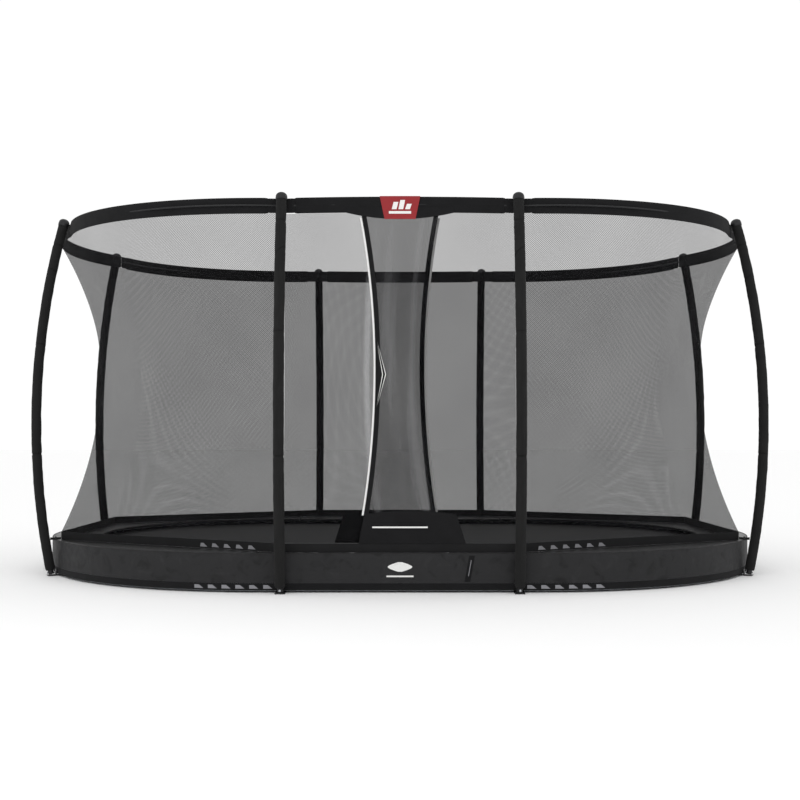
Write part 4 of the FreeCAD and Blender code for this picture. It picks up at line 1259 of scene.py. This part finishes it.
@dataclass
class NetFoot:
    """The webbing along the net's lower edge, its plain printed dashes and the straps to the poles."""
    plan: Plan
    webbing: Material
    print_pale: Material
    plastic: Material
    thick: float = 0.0022
    strap_width: float = 0.018
    dash_runs: tuple[tuple[int, float, float], ...] = ((7, -1.315, -0.87), (1, 0.88, 1.37))
    dash_pitch: float = 0.085
    dash_width: float = 0.052

    def build(self) -> None:
        """Makes eight lengths of webbing, then the dashes and the straps."""
        low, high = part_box("net_lower_border")[0].z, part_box("net_lower_border")[1].z
        lengths = [self.webbing_length(span, low, high) for span in range(8)]
        border = smooth(join("net_foot_webbing", lengths))
        finished(border, self.webbing, "frame", ("net_lower_border",))
        total = sum(self.side_length(span) for span in range(8))
        self.dashes(low, high)
        self.straps(low + 0.6 * self.strap_width)

    def corner(self, pole: int) -> Array:
        """The net's lower corner at a pole."""
        return self.plan.spot(*self.plan.poles[pole % 8], self.plan.border_reach, 0.0)

    def side_length(self, span: int) -> float:
        """The way between two neighbouring corners."""
        return float(np.linalg.norm(self.corner(span + 1) - self.corner(span)))

    def run_point(self, span: int, along: Array, level: Array, clear: float) -> Array:
        """A point of the webbing's face.

        Args:
            span: which length.
            along: 0 to 1 from corner to corner.
            level: the height.
            clear: how far outwards.

        Returns:
            The points.
        """
        start, finish = self.corner(span), self.corner(span + 1)
        way = (finish - start) / np.linalg.norm(finish - start)
        outwards = np.array([way[1], -way[0], 0.0])
        clear = np.broadcast_to(clear, along.shape)[:, None]
        found = start + (finish - start) * along[:, None] + outwards * clear
        found[:, 2] = level
        return found

    def webbing_length(self, span: int, low: float, high: float) -> Object:
        """One flat length with sewn hems, rippled a little where the net pulls on it.

        Args:
            span: which length.
            low: its lower level.
            high: its upper level.

        Returns:
            The length.
        """
        length = self.side_length(span)

        def places(u: Array, v: Array) -> Trio:
            """The webbing's face, with its hems."""
            rows = crest(v, 0.12, 0.03) + crest(v, 0.88, 0.03)
            ripple = 0.0007 * np.sin(u * length * 46 + span) * v - 0.0004 * rows
            found = self.run_point(span, u, low + v * (high - low), ripple)
            return tuple(found.T)

        part = cloth_grid("webbing_part", int(length / 0.02), 16, length, high - low, places)
        return weld(thicken(part, self.thick))

    def dashes(self, low: float, high: float) -> None:
        """Plain slanted dashes printed on the webbing, whose levels are given, in place of lettering."""
        marks = []
        middle, half = low + (high - low) * 0.38, (high - low) * 0.21
        for span, start, stop in self.dash_runs:
            first, last = self.corner(span)[0], self.corner(span + 1)[0]
            for x in np.arange(start, stop - self.dash_width, self.dash_pitch):
                def dash(u: Array, v: Array) -> Trio:
                    """A short slanted dash."""
                    across = x + self.dash_width * u * (1 - 0.6 * v) + 0.004 * v
                    along = (across - first) / (last - first)
                    return tuple(self.run_point(span, along, middle + (2 * v - 1) * half, 0.0018).T)
                marks.append(thicken(cloth_grid("dash", 3, 2, self.dash_width, 2 * half, dash), 0.0004))
        finished(smooth(weld(join("webbing_dashes", marks))), self.print_pale, "frame")

    def straps(self, level: float) -> None:
        """A short strap with a buckle from each corner to its pole, at this level."""
        made = []
        reach_in = self.plan.border_reach + 0.003
        reach_out = float(self.plan.pole_reach(level)) - self.plan.sleeve_radius - 0.0012
        for x, azimuth in self.plan.poles:
            def places(u: Array, v: Array) -> Trio:
                """The strap's place, with a small sag."""
                reach = reach_in + u * (reach_out - reach_in)
                sag = -0.002 * np.sin(math.pi * u)
                found = self.plan.spot(x, azimuth, reach, level + (v - 0.5) * self.strap_width + sag)
                return tuple(found.T)
            strap = cloth_grid("strap", 8, 6, reach_out - reach_in, self.strap_width, places)
            thicken(strap, self.thick)
            made.append(weld(strap))
        strap = smooth(join("net_straps", made))
        finished(strap, self.webbing, "frame", ("net_pole_straps",))
        buckles = []
        deselect()
        bpy.ops.mesh.primitive_cube_add(size=1, location=((reach_in + reach_out) / 2, 0, level))
        buckle = bpy.context.active_object
        buckle.scale = (0.012, 0.0095, self.strap_width + 0.008)
        settle(buckle)
        with editing(buckle) as shape:
            for face in shape.faces:
                face.select_set(abs(face.normal.x) > 0.9)
            bpy.ops.mesh.inset(thickness=0.0022, depth=-0.0018)
        with editing(buckle):
            bpy.ops.mesh.select_all(action="SELECT")
            bpy.ops.mesh.bevel(offset=0.0009, segments=2, affect="EDGES")
        for number, (x, azimuth) in enumerate(self.plan.poles):
            buckles.append(copy_of(buckle, f"buckle_{number}", round_oval(x, azimuth)))
        bpy.data.objects.remove(buckle)
        finished(smooth(join("strap_buckles", buckles), 40), self.plastic, "frame")


# ------------------------------------------------------------------ edge pads, skirt and lower band
@dataclass
class EdgePads:
    """Six coated foam pads over the springs: puffed by cloth simulation, then sewn down in rows."""
    plan: Plan
    vinyl: Material
    cell: float = 0.0085
    shrink: float = 0.0015
    pressure: float = 3.5
    cap: float = 0.0035
    hem: float = 0.020
    cross_seam: float = 0.58

    def build(self) -> None:
        """Makes the straight pad and one quarter turn, and sets copies of both round the oval."""
        straight = self.straight_pad()
        quarter = self.quarter_pad()
        self.place(straight, "front", Matrix.Identity(4))
        self.place(straight, "rear", Matrix.Rotation(math.pi, 4, "Z"))
        mirror_x, mirror_y = Matrix.Diagonal((-1, 1, 1, 1)), Matrix.Diagonal((1, -1, 1, 1))
        self.place(quarter, "right_front", Matrix.Identity(4))
        self.place(quarter, "right_rear", mirror_y)
        self.place(quarter, "left_front", mirror_x)
        self.place(quarter, "left_rear", mirror_x @ mirror_y)
        bpy.data.objects.remove(straight)
        bpy.data.objects.remove(quarter)

    def place(self, pad: Object, name: str, move: Matrix) -> None:
        """Args:
            pad: what is copied.
            name: where it goes.
            move: the move that takes it there.
        """
        twin = copy_of(pad, f"edge_pads_{name}", move)
        finished(twin, self.vinyl, "frame", (f"edge_pad_{name}",))

    def sew(self, pad: Object, across: Callable[[Array], Array], along: Callable[[Array], Array],
            length: float) -> None:
        """Presses the sewn rows into a puffed pad.

        Args:
            pad: the pad.
            across: distance from the pad's outer edge at each point.
            along: distance along the pad at each point.
            length: the pad's length.
        """
        points = coordinates(pad)
        plan = self.plan
        middle = (plan.pad_top + plan.pad_foot) / 2
        side = points[:, 2] - middle
        depth = across(points)
        way = along(points)
        width = plan.pad_outer - plan.pad_inner
        press = np.zeros(len(points))
        for row in (self.hem, width - self.hem):
            press = np.maximum(press, 0.42 * crest(depth, row, 0.006))
        count = max(1, round(length / self.cross_seam))
        pitch = length / count
        for number in range(1, count):
            press = np.maximum(press, 0.55 * crest(way, number * pitch, 0.007))
        rows = np.abs((way / pitch) % 1 - 0.5) * 2
        swell = 1 + 0.10 * np.sin(math.pi * np.clip(depth / width, 0, 1)) * (1 - rows ** 2)
        creases = unit_waves(7, 12, 0.05, 0.34)(way, depth)
        flap = np.where(side > 0, 0.0011 * creases, 0.0)
        points[:, 2] = middle + side * (1 - press) * np.minimum(swell, 1.0) + flap * (1 - press)
        points[:, 2] = np.clip(points[:, 2], plan.pad_foot + 0.0002, plan.pad_top + 0.0004)
        move_to(pad, points)

    def straight_pad(self) -> Object:
        """The straight pad of the front side."""
        plan = self.plan
        width, height = plan.pad_outer - plan.pad_inner, plan.pad_top - plan.pad_foot
        deselect()
        bpy.ops.mesh.primitive_cube_add(size=1, location=(0, -(plan.pad_outer + plan.pad_inner) / 2,
                                                          (plan.pad_top + plan.pad_foot) / 2))
        pad = bpy.context.active_object
        pad.name = "pad_straight"
        pad.scale = (2 * plan.straight - 2 * self.shrink, width - 2 * self.shrink, height - 2 * self.shrink)
        settle(pad)
        with editing(pad):
            bpy.ops.mesh.select_all(action="SELECT")
            bpy.ops.mesh.bevel(offset=0.007, segments=3, affect="EDGES")
        inflate(pad, self.cell, self.pressure, self.cap)
        self.sew(pad, lambda p: plan.pad_outer + p[:, 1], lambda p: p[:, 0] + plan.straight, 2 * plan.straight)
        return self.dress(pad)

    def quarter_pad(self) -> Object:
        """The pad of the front right quarter turn, spun from its cross-section."""
        plan = self.plan
        width, height = plan.pad_outer - plan.pad_inner, plan.pad_top - plan.pad_foot
        deselect()
        bpy.ops.mesh.primitive_plane_add(size=1, rotation=(0, math.pi / 2, 0),
                                         location=(plan.straight, -(plan.pad_outer + plan.pad_inner) / 2,
                                                   (plan.pad_top + plan.pad_foot) / 2))
        pad = bpy.context.active_object
        pad.name = "pad_quarter"
        pad.scale = (height - 2 * self.shrink, width - 2 * self.shrink, 1)
        settle(pad)
        with editing(pad):
            bpy.ops.mesh.select_all(action="SELECT")
            bpy.ops.mesh.spin(steps=60, angle=math.pi / 2, center=(plan.straight, 0, 0), axis=(0, 0, 1))
        points = coordinates(pad)
        if points[:, 0].min() < plan.straight - 0.1:
            points[:, 0] = 2 * plan.straight - points[:, 0]
            move_to(pad, points)
        weld(pad)
        close_ends(pad)
        inflate(pad, self.cell, self.pressure, self.cap)
        radius = (plan.pad_outer + plan.pad_inner) / 2

        def turn(p: Array) -> Array:
            """The distance round the quarter turn."""
            return np.arctan2(p[:, 0] - plan.straight, -p[:, 1]) * radius
        self.sew(pad, lambda p: plan.pad_outer - np.hypot(p[:, 0] - plan.straight, p[:, 1]), turn,
                 radius * math.pi / 2)
        return self.dress(pad)

    def dress(self, pad: Object) -> Object:
        """Gives the pad its finish."""
        pad.data.materials.append(self.vinyl)
        return smooth(pad, 60)


@dataclass
class Cover:
    """The vinyl skirt round the frame, the piping on its top seam and the dark band under it."""
    plan: Plan
    vinyl: Material
    cloth: Material
    print_pale: Material
    print_white: Material
    columns: int = 900
    cord_radius: float = 0.0022
    dash_runs: tuple[tuple[float, float], ...] = ((-1.30, -0.79), (0.80, 1.31))
    dash_pitch: float = 0.088
    dash_width: float = 0.058
    label_x: float = 0.405
    label_tall: float = 0.165

    def ring(self, name: str, low: float, high: float, reach: float, rows: int, relief: Relief,
             thick: float) -> Object:
        """A ring of cloth round the oval.

        Args:
            name: the piece's name.
            low: its lower level.
            high: its upper level.
            reach: its outer reach.
            rows: faces up.
            relief: inward relief from distance round and height, in metres.
            thick: the cloth's thickness.

        Returns:
            The object.
        """
        way = self.plan.length_at(reach)

        def places(u: Array, v: Array) -> Trio:
            """The way round, with its relief."""
            x, azimuth = self.plan.heads(u, reach)
            rise = v * (high - low)
            return tuple(self.plan.spot(x, azimuth, reach - relief(u * way, rise), low + rise).T)

        sheet = weld(cloth_grid(name, self.columns, rows, way, high - low, places), 0.0005)
        return smooth(thicken(sheet, thick, -1.0))

    def build(self) -> None:
        """Makes the skirt, its piping, the band and the plain printed marks."""
        plan = self.plan
        low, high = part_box("pad_skirt")[0].z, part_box("pad_skirt")[1].z
        slow, fine = unit_waves(3, 9, 0.25, 1.3), unit_waves(4, 10, 0.04, 0.16)
        way = plan.length_at(plan.cover)

        def skirt_relief(a: Array, b: Array) -> Array:
            """Slow folds, fine wrinkles, the drawn hems and eight upright seams."""
            share = b / (high - low)
            drawn = crest(share, 0.93, 0.03) + 0.7 * crest(share, 0.07, 0.03)
            seam = crest(np.mod(a + 0.3, way / 8), 0.3, 0.004)
            return 0.0008 + 0.0006 * slow(a, b * 0.5) + 0.0004 * fine(a, b * 0.35) * (1 - share * 0.5) \
                + 0.0007 * drawn + 0.0010 * seam

        skirt = self.ring("frame_skirt", low, high - 0.003, plan.cover, 22, skirt_relief, 0.0009)
        finished(skirt, self.vinyl, "frame", ("pad_skirt",))
        self.top_piping(high)
        foot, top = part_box("lower_band")[0].z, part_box("lower_band")[1].z

        def band_relief(a: Array, b: Array) -> Array:
            """Slow folds and one sewn row."""
            return 0.0006 + 0.0005 * slow(a, b) + 0.0004 * crest(b, 0.005, 0.002)
        band = self.ring("frame_lower_band", foot, top, plan.cover, 8, band_relief, 0.0012)
        finished(band, self.cloth, "frame", ("lower_band",))
        self.marks(low, high, foot, top)

    def top_piping(self, level: float) -> None:
        """The round cord sewn into the seam between pad and skirt, at this level."""
        plan = self.plan
        radius = self.cord_radius
        way = plan.length_at(plan.cover)

        def places(u: Array, v: Array) -> Trio:
            """The cord round the pad's edge."""
            x, azimuth = plan.heads(u, plan.cover)
            turn = 2 * math.pi * v
            found = plan.spot(x, azimuth, plan.cover - 0.0028 + radius * np.cos(turn),
                              level - radius + radius * np.sin(turn))
            return tuple(found.T)
        cord = smooth(weld(cloth_grid("skirt_piping", 700, 8, way, 2 * math.pi * radius, places)))
        finished(cord, self.vinyl, "frame")

    def marks(self, low: float, high: float, foot: float, top: float) -> None:
        """Plain shapes where the real cover carries prints: a lozenge, a label, and dashes on the band.

        Args:
            low: the skirt's lower level.
            high: its upper level.
            foot: the lower band's lower level.
            top: its upper level.
        """
        plan = self.plan

        def on_cover(x: Array, level: Array, clear: float = 0.0006) -> Trio:
            """A point just clear of the skirt."""
            past = np.clip(np.abs(x) - plan.straight, 0, None)
            turn = np.degrees(np.arcsin(past / plan.cover)) * np.sign(x)
            axis = np.clip(x, -plan.straight, plan.straight)
            return tuple(plan.spot(axis, -90 + turn, plan.cover + clear, level).T)

        white, pale, dark = [], [], []
        middle = (low + high) / 2 + 0.004

        def lozenge(u: Array, v: Array) -> Trio:
            """A lozenge with rounded flanks."""
            swing = 2 * v - 1
            half = 0.066 * (1 - np.abs(swing) ** 1.6) + 0.012
            return on_cover((2 * u - 1) * half, middle + 0.004 + swing * 0.030)

        def bar(u: Array, v: Array) -> Trio:
            """A bar under the lozenge."""
            return on_cover(-0.085 + 0.17 * u, middle - 0.060 + 0.010 * v)

        def patch(u: Array, v: Array) -> Trio:
            """A dark slanted label."""
            return on_cover(self.label_x + 0.036 * u + 0.030 * v, low + 0.008 + self.label_tall * v)

        def stripe(u: Array, v: Array) -> Trio:
            """A pale line down the label."""
            return on_cover(self.label_x + 0.023 + 0.004 * u + 0.018 * v, low + 0.045 + 0.10 * v, 0.0012)

        for shape, wide, tall, group in ((lozenge, 0.17, 0.08, white), (bar, 0.17, 0.01, white),
                                         (patch, 0.036, self.label_tall, dark), (stripe, 0.004, 0.10, pale)):
            group.append(thicken(cloth_grid("mark", 10, 10, wide, tall, shape), 0.0005))
        level, half = (foot + top) / 2, (top - foot) * 0.26
        for start, stop in self.dash_runs:
            for x in np.arange(start, stop, self.dash_pitch):
                def dash(u: Array, v: Array) -> Trio:
                    """A short slanted dash."""
                    return on_cover(x + self.dash_width * u * (1 - 0.5 * v), level + (2 * v - 1) * half)
                pale.append(thicken(cloth_grid("dash", 3, 1, self.dash_width, 2 * half, dash), 0.0005))
        for name, group, ink in (("cover_emblem", white, self.print_white),
                                 ("cover_dashes", pale, self.print_pale), ("cover_side_tag", dark, self.cloth)):
            finished(smooth(weld(join(name, group))), ink, "frame")


# ------------------------------------------------------------------ jump mat and springs
@dataclass
class JumpMat:
    """The woven mat with its webbed, scalloped edge, and the coil springs that hold it."""
    plan: Plan
    woven: Material
    webbing: Material
    steel: Material
    per_side: int = 14
    per_end: int = 38
    webbing_width: float = 0.045
    webbing_inset: float = 0.006
    coil_radius: float = 0.011
    wire_radius: float = 0.0017
    coil_turns: int = 11
    spring_level: float = 0.2145
    hook_length: float = 0.022
    hook_drop: float = 0.018
    hook_radius: float = 0.0022
    ring_grip: float = 0.011
    tab_grip: float = 0.0025
    stretches_per_end: int = 8
    mat_rings: int = 42

    def spring_spots(self) -> list[tuple[float, float]]:
        """Where the springs stand: the point on the long axis and the azimuth."""
        plan = self.plan
        pitch = 2 * plan.straight / self.per_side
        spots = [(-plan.straight + (i + 0.5) * pitch, azimuth) for azimuth in (-90.0, 90.0)
                 for i in range(self.per_side)]
        for end, turn in ((1, -90), (-1, 90)):
            spots += [(end * plan.straight, turn + (i + 0.5) * 180 / self.per_end) for i in range(self.per_end)]
        return spots

    def build(self) -> None:
        """Makes the mat, its webbing and the springs."""
        plan = self.plan
        low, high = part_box("jump_mat")[0].z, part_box("jump_mat")[1].z
        reach = plan.mat_reach
        waves = unit_waves(11, 8, 0.3, 1.4)

        def places(u: Array, v: Array) -> Trio:
            """The mat in rings, from its edge to its middle line."""
            x, azimuth = plan.heads(u, reach)
            out = 1 - v ** 1.5
            found = plan.spot(x, azimuth, reach * out, high - 0.0014)
            found[:, 2] += 0.0009 * waves(found[:, 0], found[:, 1]) * (1 - out ** 3)
            return tuple(found.T)

        mat = weld(cloth_grid("jump_mat_cloth", 520, self.mat_rings, 1, 1, places), 0.0006)
        with editing(mat) as shape:
            for face in shape.faces:
                face.select_set(face.normal.z < 0)
            bpy.ops.mesh.flip_normals()
        self.flat_map(mat)
        thicken(mat, 0.0018)
        finished(smooth(mat), self.woven, "mat", ("jump_mat",))
        self.edge_webbing(high)
        self.springs()

    def flat_map(self, obj: Object) -> None:
        """Lays the UV map flat over the mat, in metres."""
        points = coordinates(obj)[:, :2]
        corner = np.empty(len(obj.data.loops), np.int32)
        obj.data.loops.foreach_get("vertex_index", corner)
        obj.data.uv_layers[0].data.foreach_set("uv", points[corner].astype(np.float32).ravel())

    def edge_webbing(self, level: float) -> None:
        """Doubled webbing along the mat's edge, with four sewn rows; level is the mat's top."""
        plan = self.plan
        outer = plan.mat_reach - self.webbing_inset

        def places(u: Array, v: Array) -> Trio:
            """The webbing, drawn down at its sewn rows."""
            x, azimuth = plan.heads(u, outer)
            rows = sum(crest(v, row, 0.03) for row in (0.08, 0.34, 0.66, 0.92))
            reach = outer - v * self.webbing_width
            return tuple(plan.spot(x, azimuth, reach, level + 0.0020 - 0.0005 * rows).T)
        way = plan.length_at(outer)
        strip = weld(cloth_grid("mat_edge_webbing_cloth", 620, 22, way, self.webbing_width, places), 0.0006)
        smooth(thicken(strip, 0.0016, 0.0))
        finished(strip, self.webbing, "mat", ("mat_edge_webbing",))

    def one_spring(self, inner: float, outer: float) -> Object:
        """A coil with a hook at each end, along +X.

        Args:
            inner: the reach of its hook on the mat.
            outer: the reach of its hook on the frame.

        Returns:
            The spring.
        """
        deselect()
        body = outer - inner - 2 * self.hook_length
        bpy.ops.mesh.primitive_circle_add(vertices=4, radius=self.wire_radius,
                                          location=(0, self.coil_radius, 0), rotation=(0, math.pi / 2, 0))
        coil = settle(bpy.context.active_object)
        apply_modifier(coil, "SCREW", axis="X", angle=2 * math.pi * self.coil_turns, screw_offset=body,
                       iterations=1, steps=7 * self.coil_turns, render_steps=7 * self.coil_turns)
        coil.data.transform(Matrix.Translation((inner + self.hook_length, 0, self.spring_level)))
        pieces = [coil]
        for end, sign in ((inner, 1), (outer, -1)):
            deselect()
            bpy.ops.mesh.primitive_circle_add(vertices=5, radius=self.hook_radius,
                                              location=(end, 0, self.spring_level - self.hook_drop))
            hook = settle(bpy.context.active_object)
            with editing(hook):
                bpy.ops.mesh.select_all(action="SELECT")
                for step in ((0, 0, self.hook_drop), (sign * self.hook_length * 0.6, 0, 0.001),
                             (sign * self.hook_length * 0.5, 0, 0)):
                    bpy.ops.mesh.extrude_region_move(TRANSFORM_OT_translate={"value": step})
            pieces.append(hook)
        return weld(join("spring", pieces), 0.00001)

    def springs(self) -> None:
        """Groups of neighbouring springs, each group one piece reaching from the frame to the mat."""
        plan = self.plan
        inner_reach = -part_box("mat_steel_rings")[0].y - self.ring_grip
        outer_reach = -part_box("springs")[0].y - self.tab_grip
        spring = self.one_spring(inner_reach, outer_reach)
        spots = self.spring_spots()
        groups: dict[str, list[tuple[float, float]]] = {"front": spots[:self.per_side],
                                                        "rear": spots[self.per_side:2 * self.per_side]}
        for end, first in (("right", 2 * self.per_side), ("left", 2 * self.per_side + self.per_end)):
            ends = spots[first:first + self.per_end]
            for part in range(self.stretches_per_end):
                groups[f"{end}_{part}"] = ends[part * self.per_end // self.stretches_per_end:
                                               (part + 1) * self.per_end // self.stretches_per_end]
        for name, members in groups.items():
            copies = []
            for number, (x, azimuth) in enumerate(members):
                copies.append(copy_of(spring, f"coil_{number}", round_oval(x, azimuth)))
            piece = smooth(join(f"springs_{name}", copies), 60)
            middle = float(np.mean([azimuth for _, azimuth in members]))
            x = members[0][0] if name not in ("front", "rear") else 0.0
            away = Vector(plan.spot(0.0, middle, 1.0, 0.0))
            finished(piece, self.steel, None, ("springs",) if name == "front" else ())
            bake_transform(piece)
        bpy.data.objects.remove(spring)


# ------------------------------------------------------------------ studio
@dataclass
class Studio:
    """A white floor, soft lamps and the camera: name, place, aim, size in metres and power in watts each."""
    distance: float = 9.01
    height: float = 0.98
    sensor_mm: float = 36.0
    lens_mm: float = 52.155
    lens_shift: float = 0.04625
    sky: float = 1.02
    lamps: tuple[tuple[str, tuple[float, ...], tuple[float, ...], float, float], ...] = (
        ("soft_top", (0.0, -1.5, 6.5), (0.0, 0.0, 0.8), 7.0, 30.0),
        ("soft_front", (-2.5, -8.5, 3.6), (0.0, 0.0, 1.0), 4.0, 70.0))

    def build(self, floor_finish: Material) -> None:
        """Makes the floor, the world, the lamps and the camera."""
        deselect()
        bpy.ops.mesh.primitive_plane_add(size=160, location=(0, 0, -0.0005))
        floor = bpy.context.active_object
        floor.name = "studio_floor"
        floor.data.materials.append(floor_finish)
        scene = bpy.context.scene
        scene.view_settings.view_transform = "Standard"
        world = bpy.data.worlds.new("studio_white")
        scene.world = world
        world.use_nodes = True
        sky = world.node_tree.nodes["Background"].inputs
        sky["Color"].default_value, sky["Strength"].default_value = (1, 1, 1, 1), self.sky
        for name, place, aim, size, power in self.lamps:
            lamp = bpy.data.lights.new(name, "AREA")
            lamp.energy, lamp.shape, lamp.size = power, "SQUARE", size
            obj = bpy.data.objects.new(name, lamp)
            obj.location = place
            obj.rotation_euler = (Vector(aim) - Vector(place)).to_track_quat("-Z", "Y").to_euler()
            scene.collection.objects.link(obj)
        camera = bpy.data.cameras.new("camera")
        camera.sensor_width = self.sensor_mm
        camera.lens = self.lens_mm
        camera.shift_y = self.lens_shift
        view = bpy.data.objects.new("camera", camera)
        view.location = (0, -self.distance, self.height)
        view.rotation_euler = (math.pi / 2, 0, 0)
        scene.collection.objects.link(view)
        scene.camera = view


def dress_frame(finishes: dict[str, Material]) -> None:
    """Gives the CAD nodes that still show their finishes, which come by name."""
    wanted = {"frame_ring_tubes": "zinc", "ground_ring_tubes": "zinc", "frame_uprights": "zinc",
              "tube_couplings": "zinc", "spring_tabs": "zinc", "pole_foot_plates": "pole",
              "pole_foot_bolts": "bolt", "mat_steel_rings": "bolt", "net_band_rods": "plastic"}
    for name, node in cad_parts.items():
        if node.hide_render:
            continue
        key = "pole" if name.startswith("pole_tube") else wanted[name]
        node.data.materials.clear()
        node.data.materials.append(finishes[key])


def main() -> None:
    """Builds the studio, the finishes and each sub-assembly in order."""
    logging.basicConfig(level=logging.INFO, format="%(name)s: %(message)s")
    on_cloth = Follow.CLOTH
    # Matt wall paint on the studio's floor: near white, no gloss
    floor = HardSkin("floor_paint", "#fbfbfb", 0.9, scuffed="#fafafa", skin_mm=40, specular=0.05).build()
    # Polyester weave over foam: dark, dry, faintly dusty
    sleeve_cloth = WovenCloth("sleeve_polyester", "#1e1e1e", 0.85, on_cloth, worn="#292929", sheen=0.02,
                              seams=(2.315, 1.60, 0.83), wrap=(2.106, 0.030, 0.035)).build()
    # The same weave, heavier, on the net band and foot panels: nearly black
    band_cloth = WovenCloth("band_polyester", "#19191a", 0.88, on_cloth, worn="#232325", thread_mm=2.8,
                            sheen=0.02).build()
    # Knitted polyethylene net: a grey veil that darkens where two layers cross
    net = KnottedNet("net_polyethylene", "#0c0c0d", 0.9, on_cloth).build()
    # The entrance's inner layer: the same net, slack, with lit folds past its fold line
    slack_net = KnottedNet("net_polyethylene_slack", "#0c0c0d", 0.9, on_cloth, fold_sheen="#a4a4a6",
                           hole_mm=5.0, folds_from=0.57).build()
    # Shoulder spans: the same net seen at a slant, so its holes are drawn a little coarser
    shoulder_net = KnottedNet("net_polyethylene_shoulder", "#0c0c0d", 0.9, on_cloth, hole_mm=9.0,
                              open_alpha=0.39, yarn_alpha=0.77).build()
    # Woven polypropylene webbing: black, ribbed, with a faint shine on its threads
    webbing = WovenCloth("webbing_polypropylene", "#171718", 0.7, on_cloth, worn="#222224", thread_mm=3.5,
                         specular=0.15, sheen=0.02).build()
    # Permeable jump mat: woven flat tape with a low shine
    woven = WovenCloth("mat_woven_polypropylene", "#1f1f20", 0.6, on_cloth, worn="#272728", thread_mm=4.0,
                       relief_mm=0.4, specular=0.25, sheen=0.02).build()
    # PVC-coated cloth over foam: satin, so the pads' crowns catch a soft light
    pad_vinyl = CoatedVinyl("pad_pvc", "#1c1c1d", 0.36, dust_and_crease_highlight="#262628").build()
    # The same coated cloth hung as a skirt: duller, with long pressed creases that carry strong painted light
    # and shade
    skirt_vinyl = CoatedVinyl("skirt_pvc", "#272728", 0.6, on_cloth, dust_and_crease_highlight="#2f2f30", crease_mm=90,
                              crease_relief_mm=6.0, painted_crease_shading=0.7, specular=0.15).build()
    # Hot-dip galvanised tube: pale grey with spangle
    zinc = Steel("galvanised_tube", "#b9bcc0", 0.38).build()
    # Bright zinc-plated bolts, rings and springs: smoother and whiter
    bolt = Steel("plated_steel", "#c9ccd0", 0.25, dull="#9a9da1", spangle_mm=4.0).build()
    # Black powder coat: fine orange peel, scuffed where it is handled
    pole = HardSkin("pole_powder_coat", "#202022", 0.4, scuffed="#3a3a3c").build()
    # Moulded polypropylene: black with a fine mould texture
    plastic = HardSkin("moulded_polypropylene", "#151517", 0.45, scuffed="#323234", skin_mm=0.9).build()
    # Vinyl piping over cord: clean white on the outer edge, a little yellower on the inner
    white = WovenCloth("piping_white_vinyl", "#fbfbfa", 0.5, on_cloth, worn="#f2f2f0", thread_mm=3.0,
                       relief_mm=0.1, specular=0.3).build()
    pale = WovenCloth("piping_pale_vinyl", "#fbfbfa", 0.5, on_cloth, worn="#efefec", thread_mm=3.0,
                      relief_mm=0.1, specular=0.3).build()
    # Screen-printed inks: flat and matt, white or worn grey
    print_white = HardSkin("print_white_ink", "#e4e4e2", 0.6, scuffed="#c9c9c6", skin_mm=2.5).build()
    print_pale = HardSkin("print_pale_ink", "#86868a", 0.6, scuffed="#6c6c70", skin_mm=2.5,
                          specular=0.1).build()
    # Coated badge cloth: deep red, fine grain
    badge_red = CoatedVinyl("badge_red_vinyl", "#8c1d22", 0.5, on_cloth, dust_and_crease_highlight="#952529", grain_mm=2.0).build()

    plan = Plan()
    Studio().build(floor)
    safety_net = SafetyNet(plan, net, slack_net, shoulder_net)
    safety_net.build()
    Entrance(safety_net, band_cloth, white, pale, print_white).build()
    Poles(plan, sleeve_cloth, plastic).build()
    NetBand(plan, band_cloth, badge_red, print_white).build()
    EdgePads(plan, pad_vinyl).build()
    NetFoot(plan, webbing, print_pale, plastic).build()
    Cover(plan, skirt_vinyl, band_cloth, print_pale, print_white).build()
    JumpMat(plan, woven, webbing, bolt).build()
    dress_frame({"zinc": zinc, "bolt": bolt, "pole": pole, "plastic": plastic})


if __name__ == "__main__":
    main()
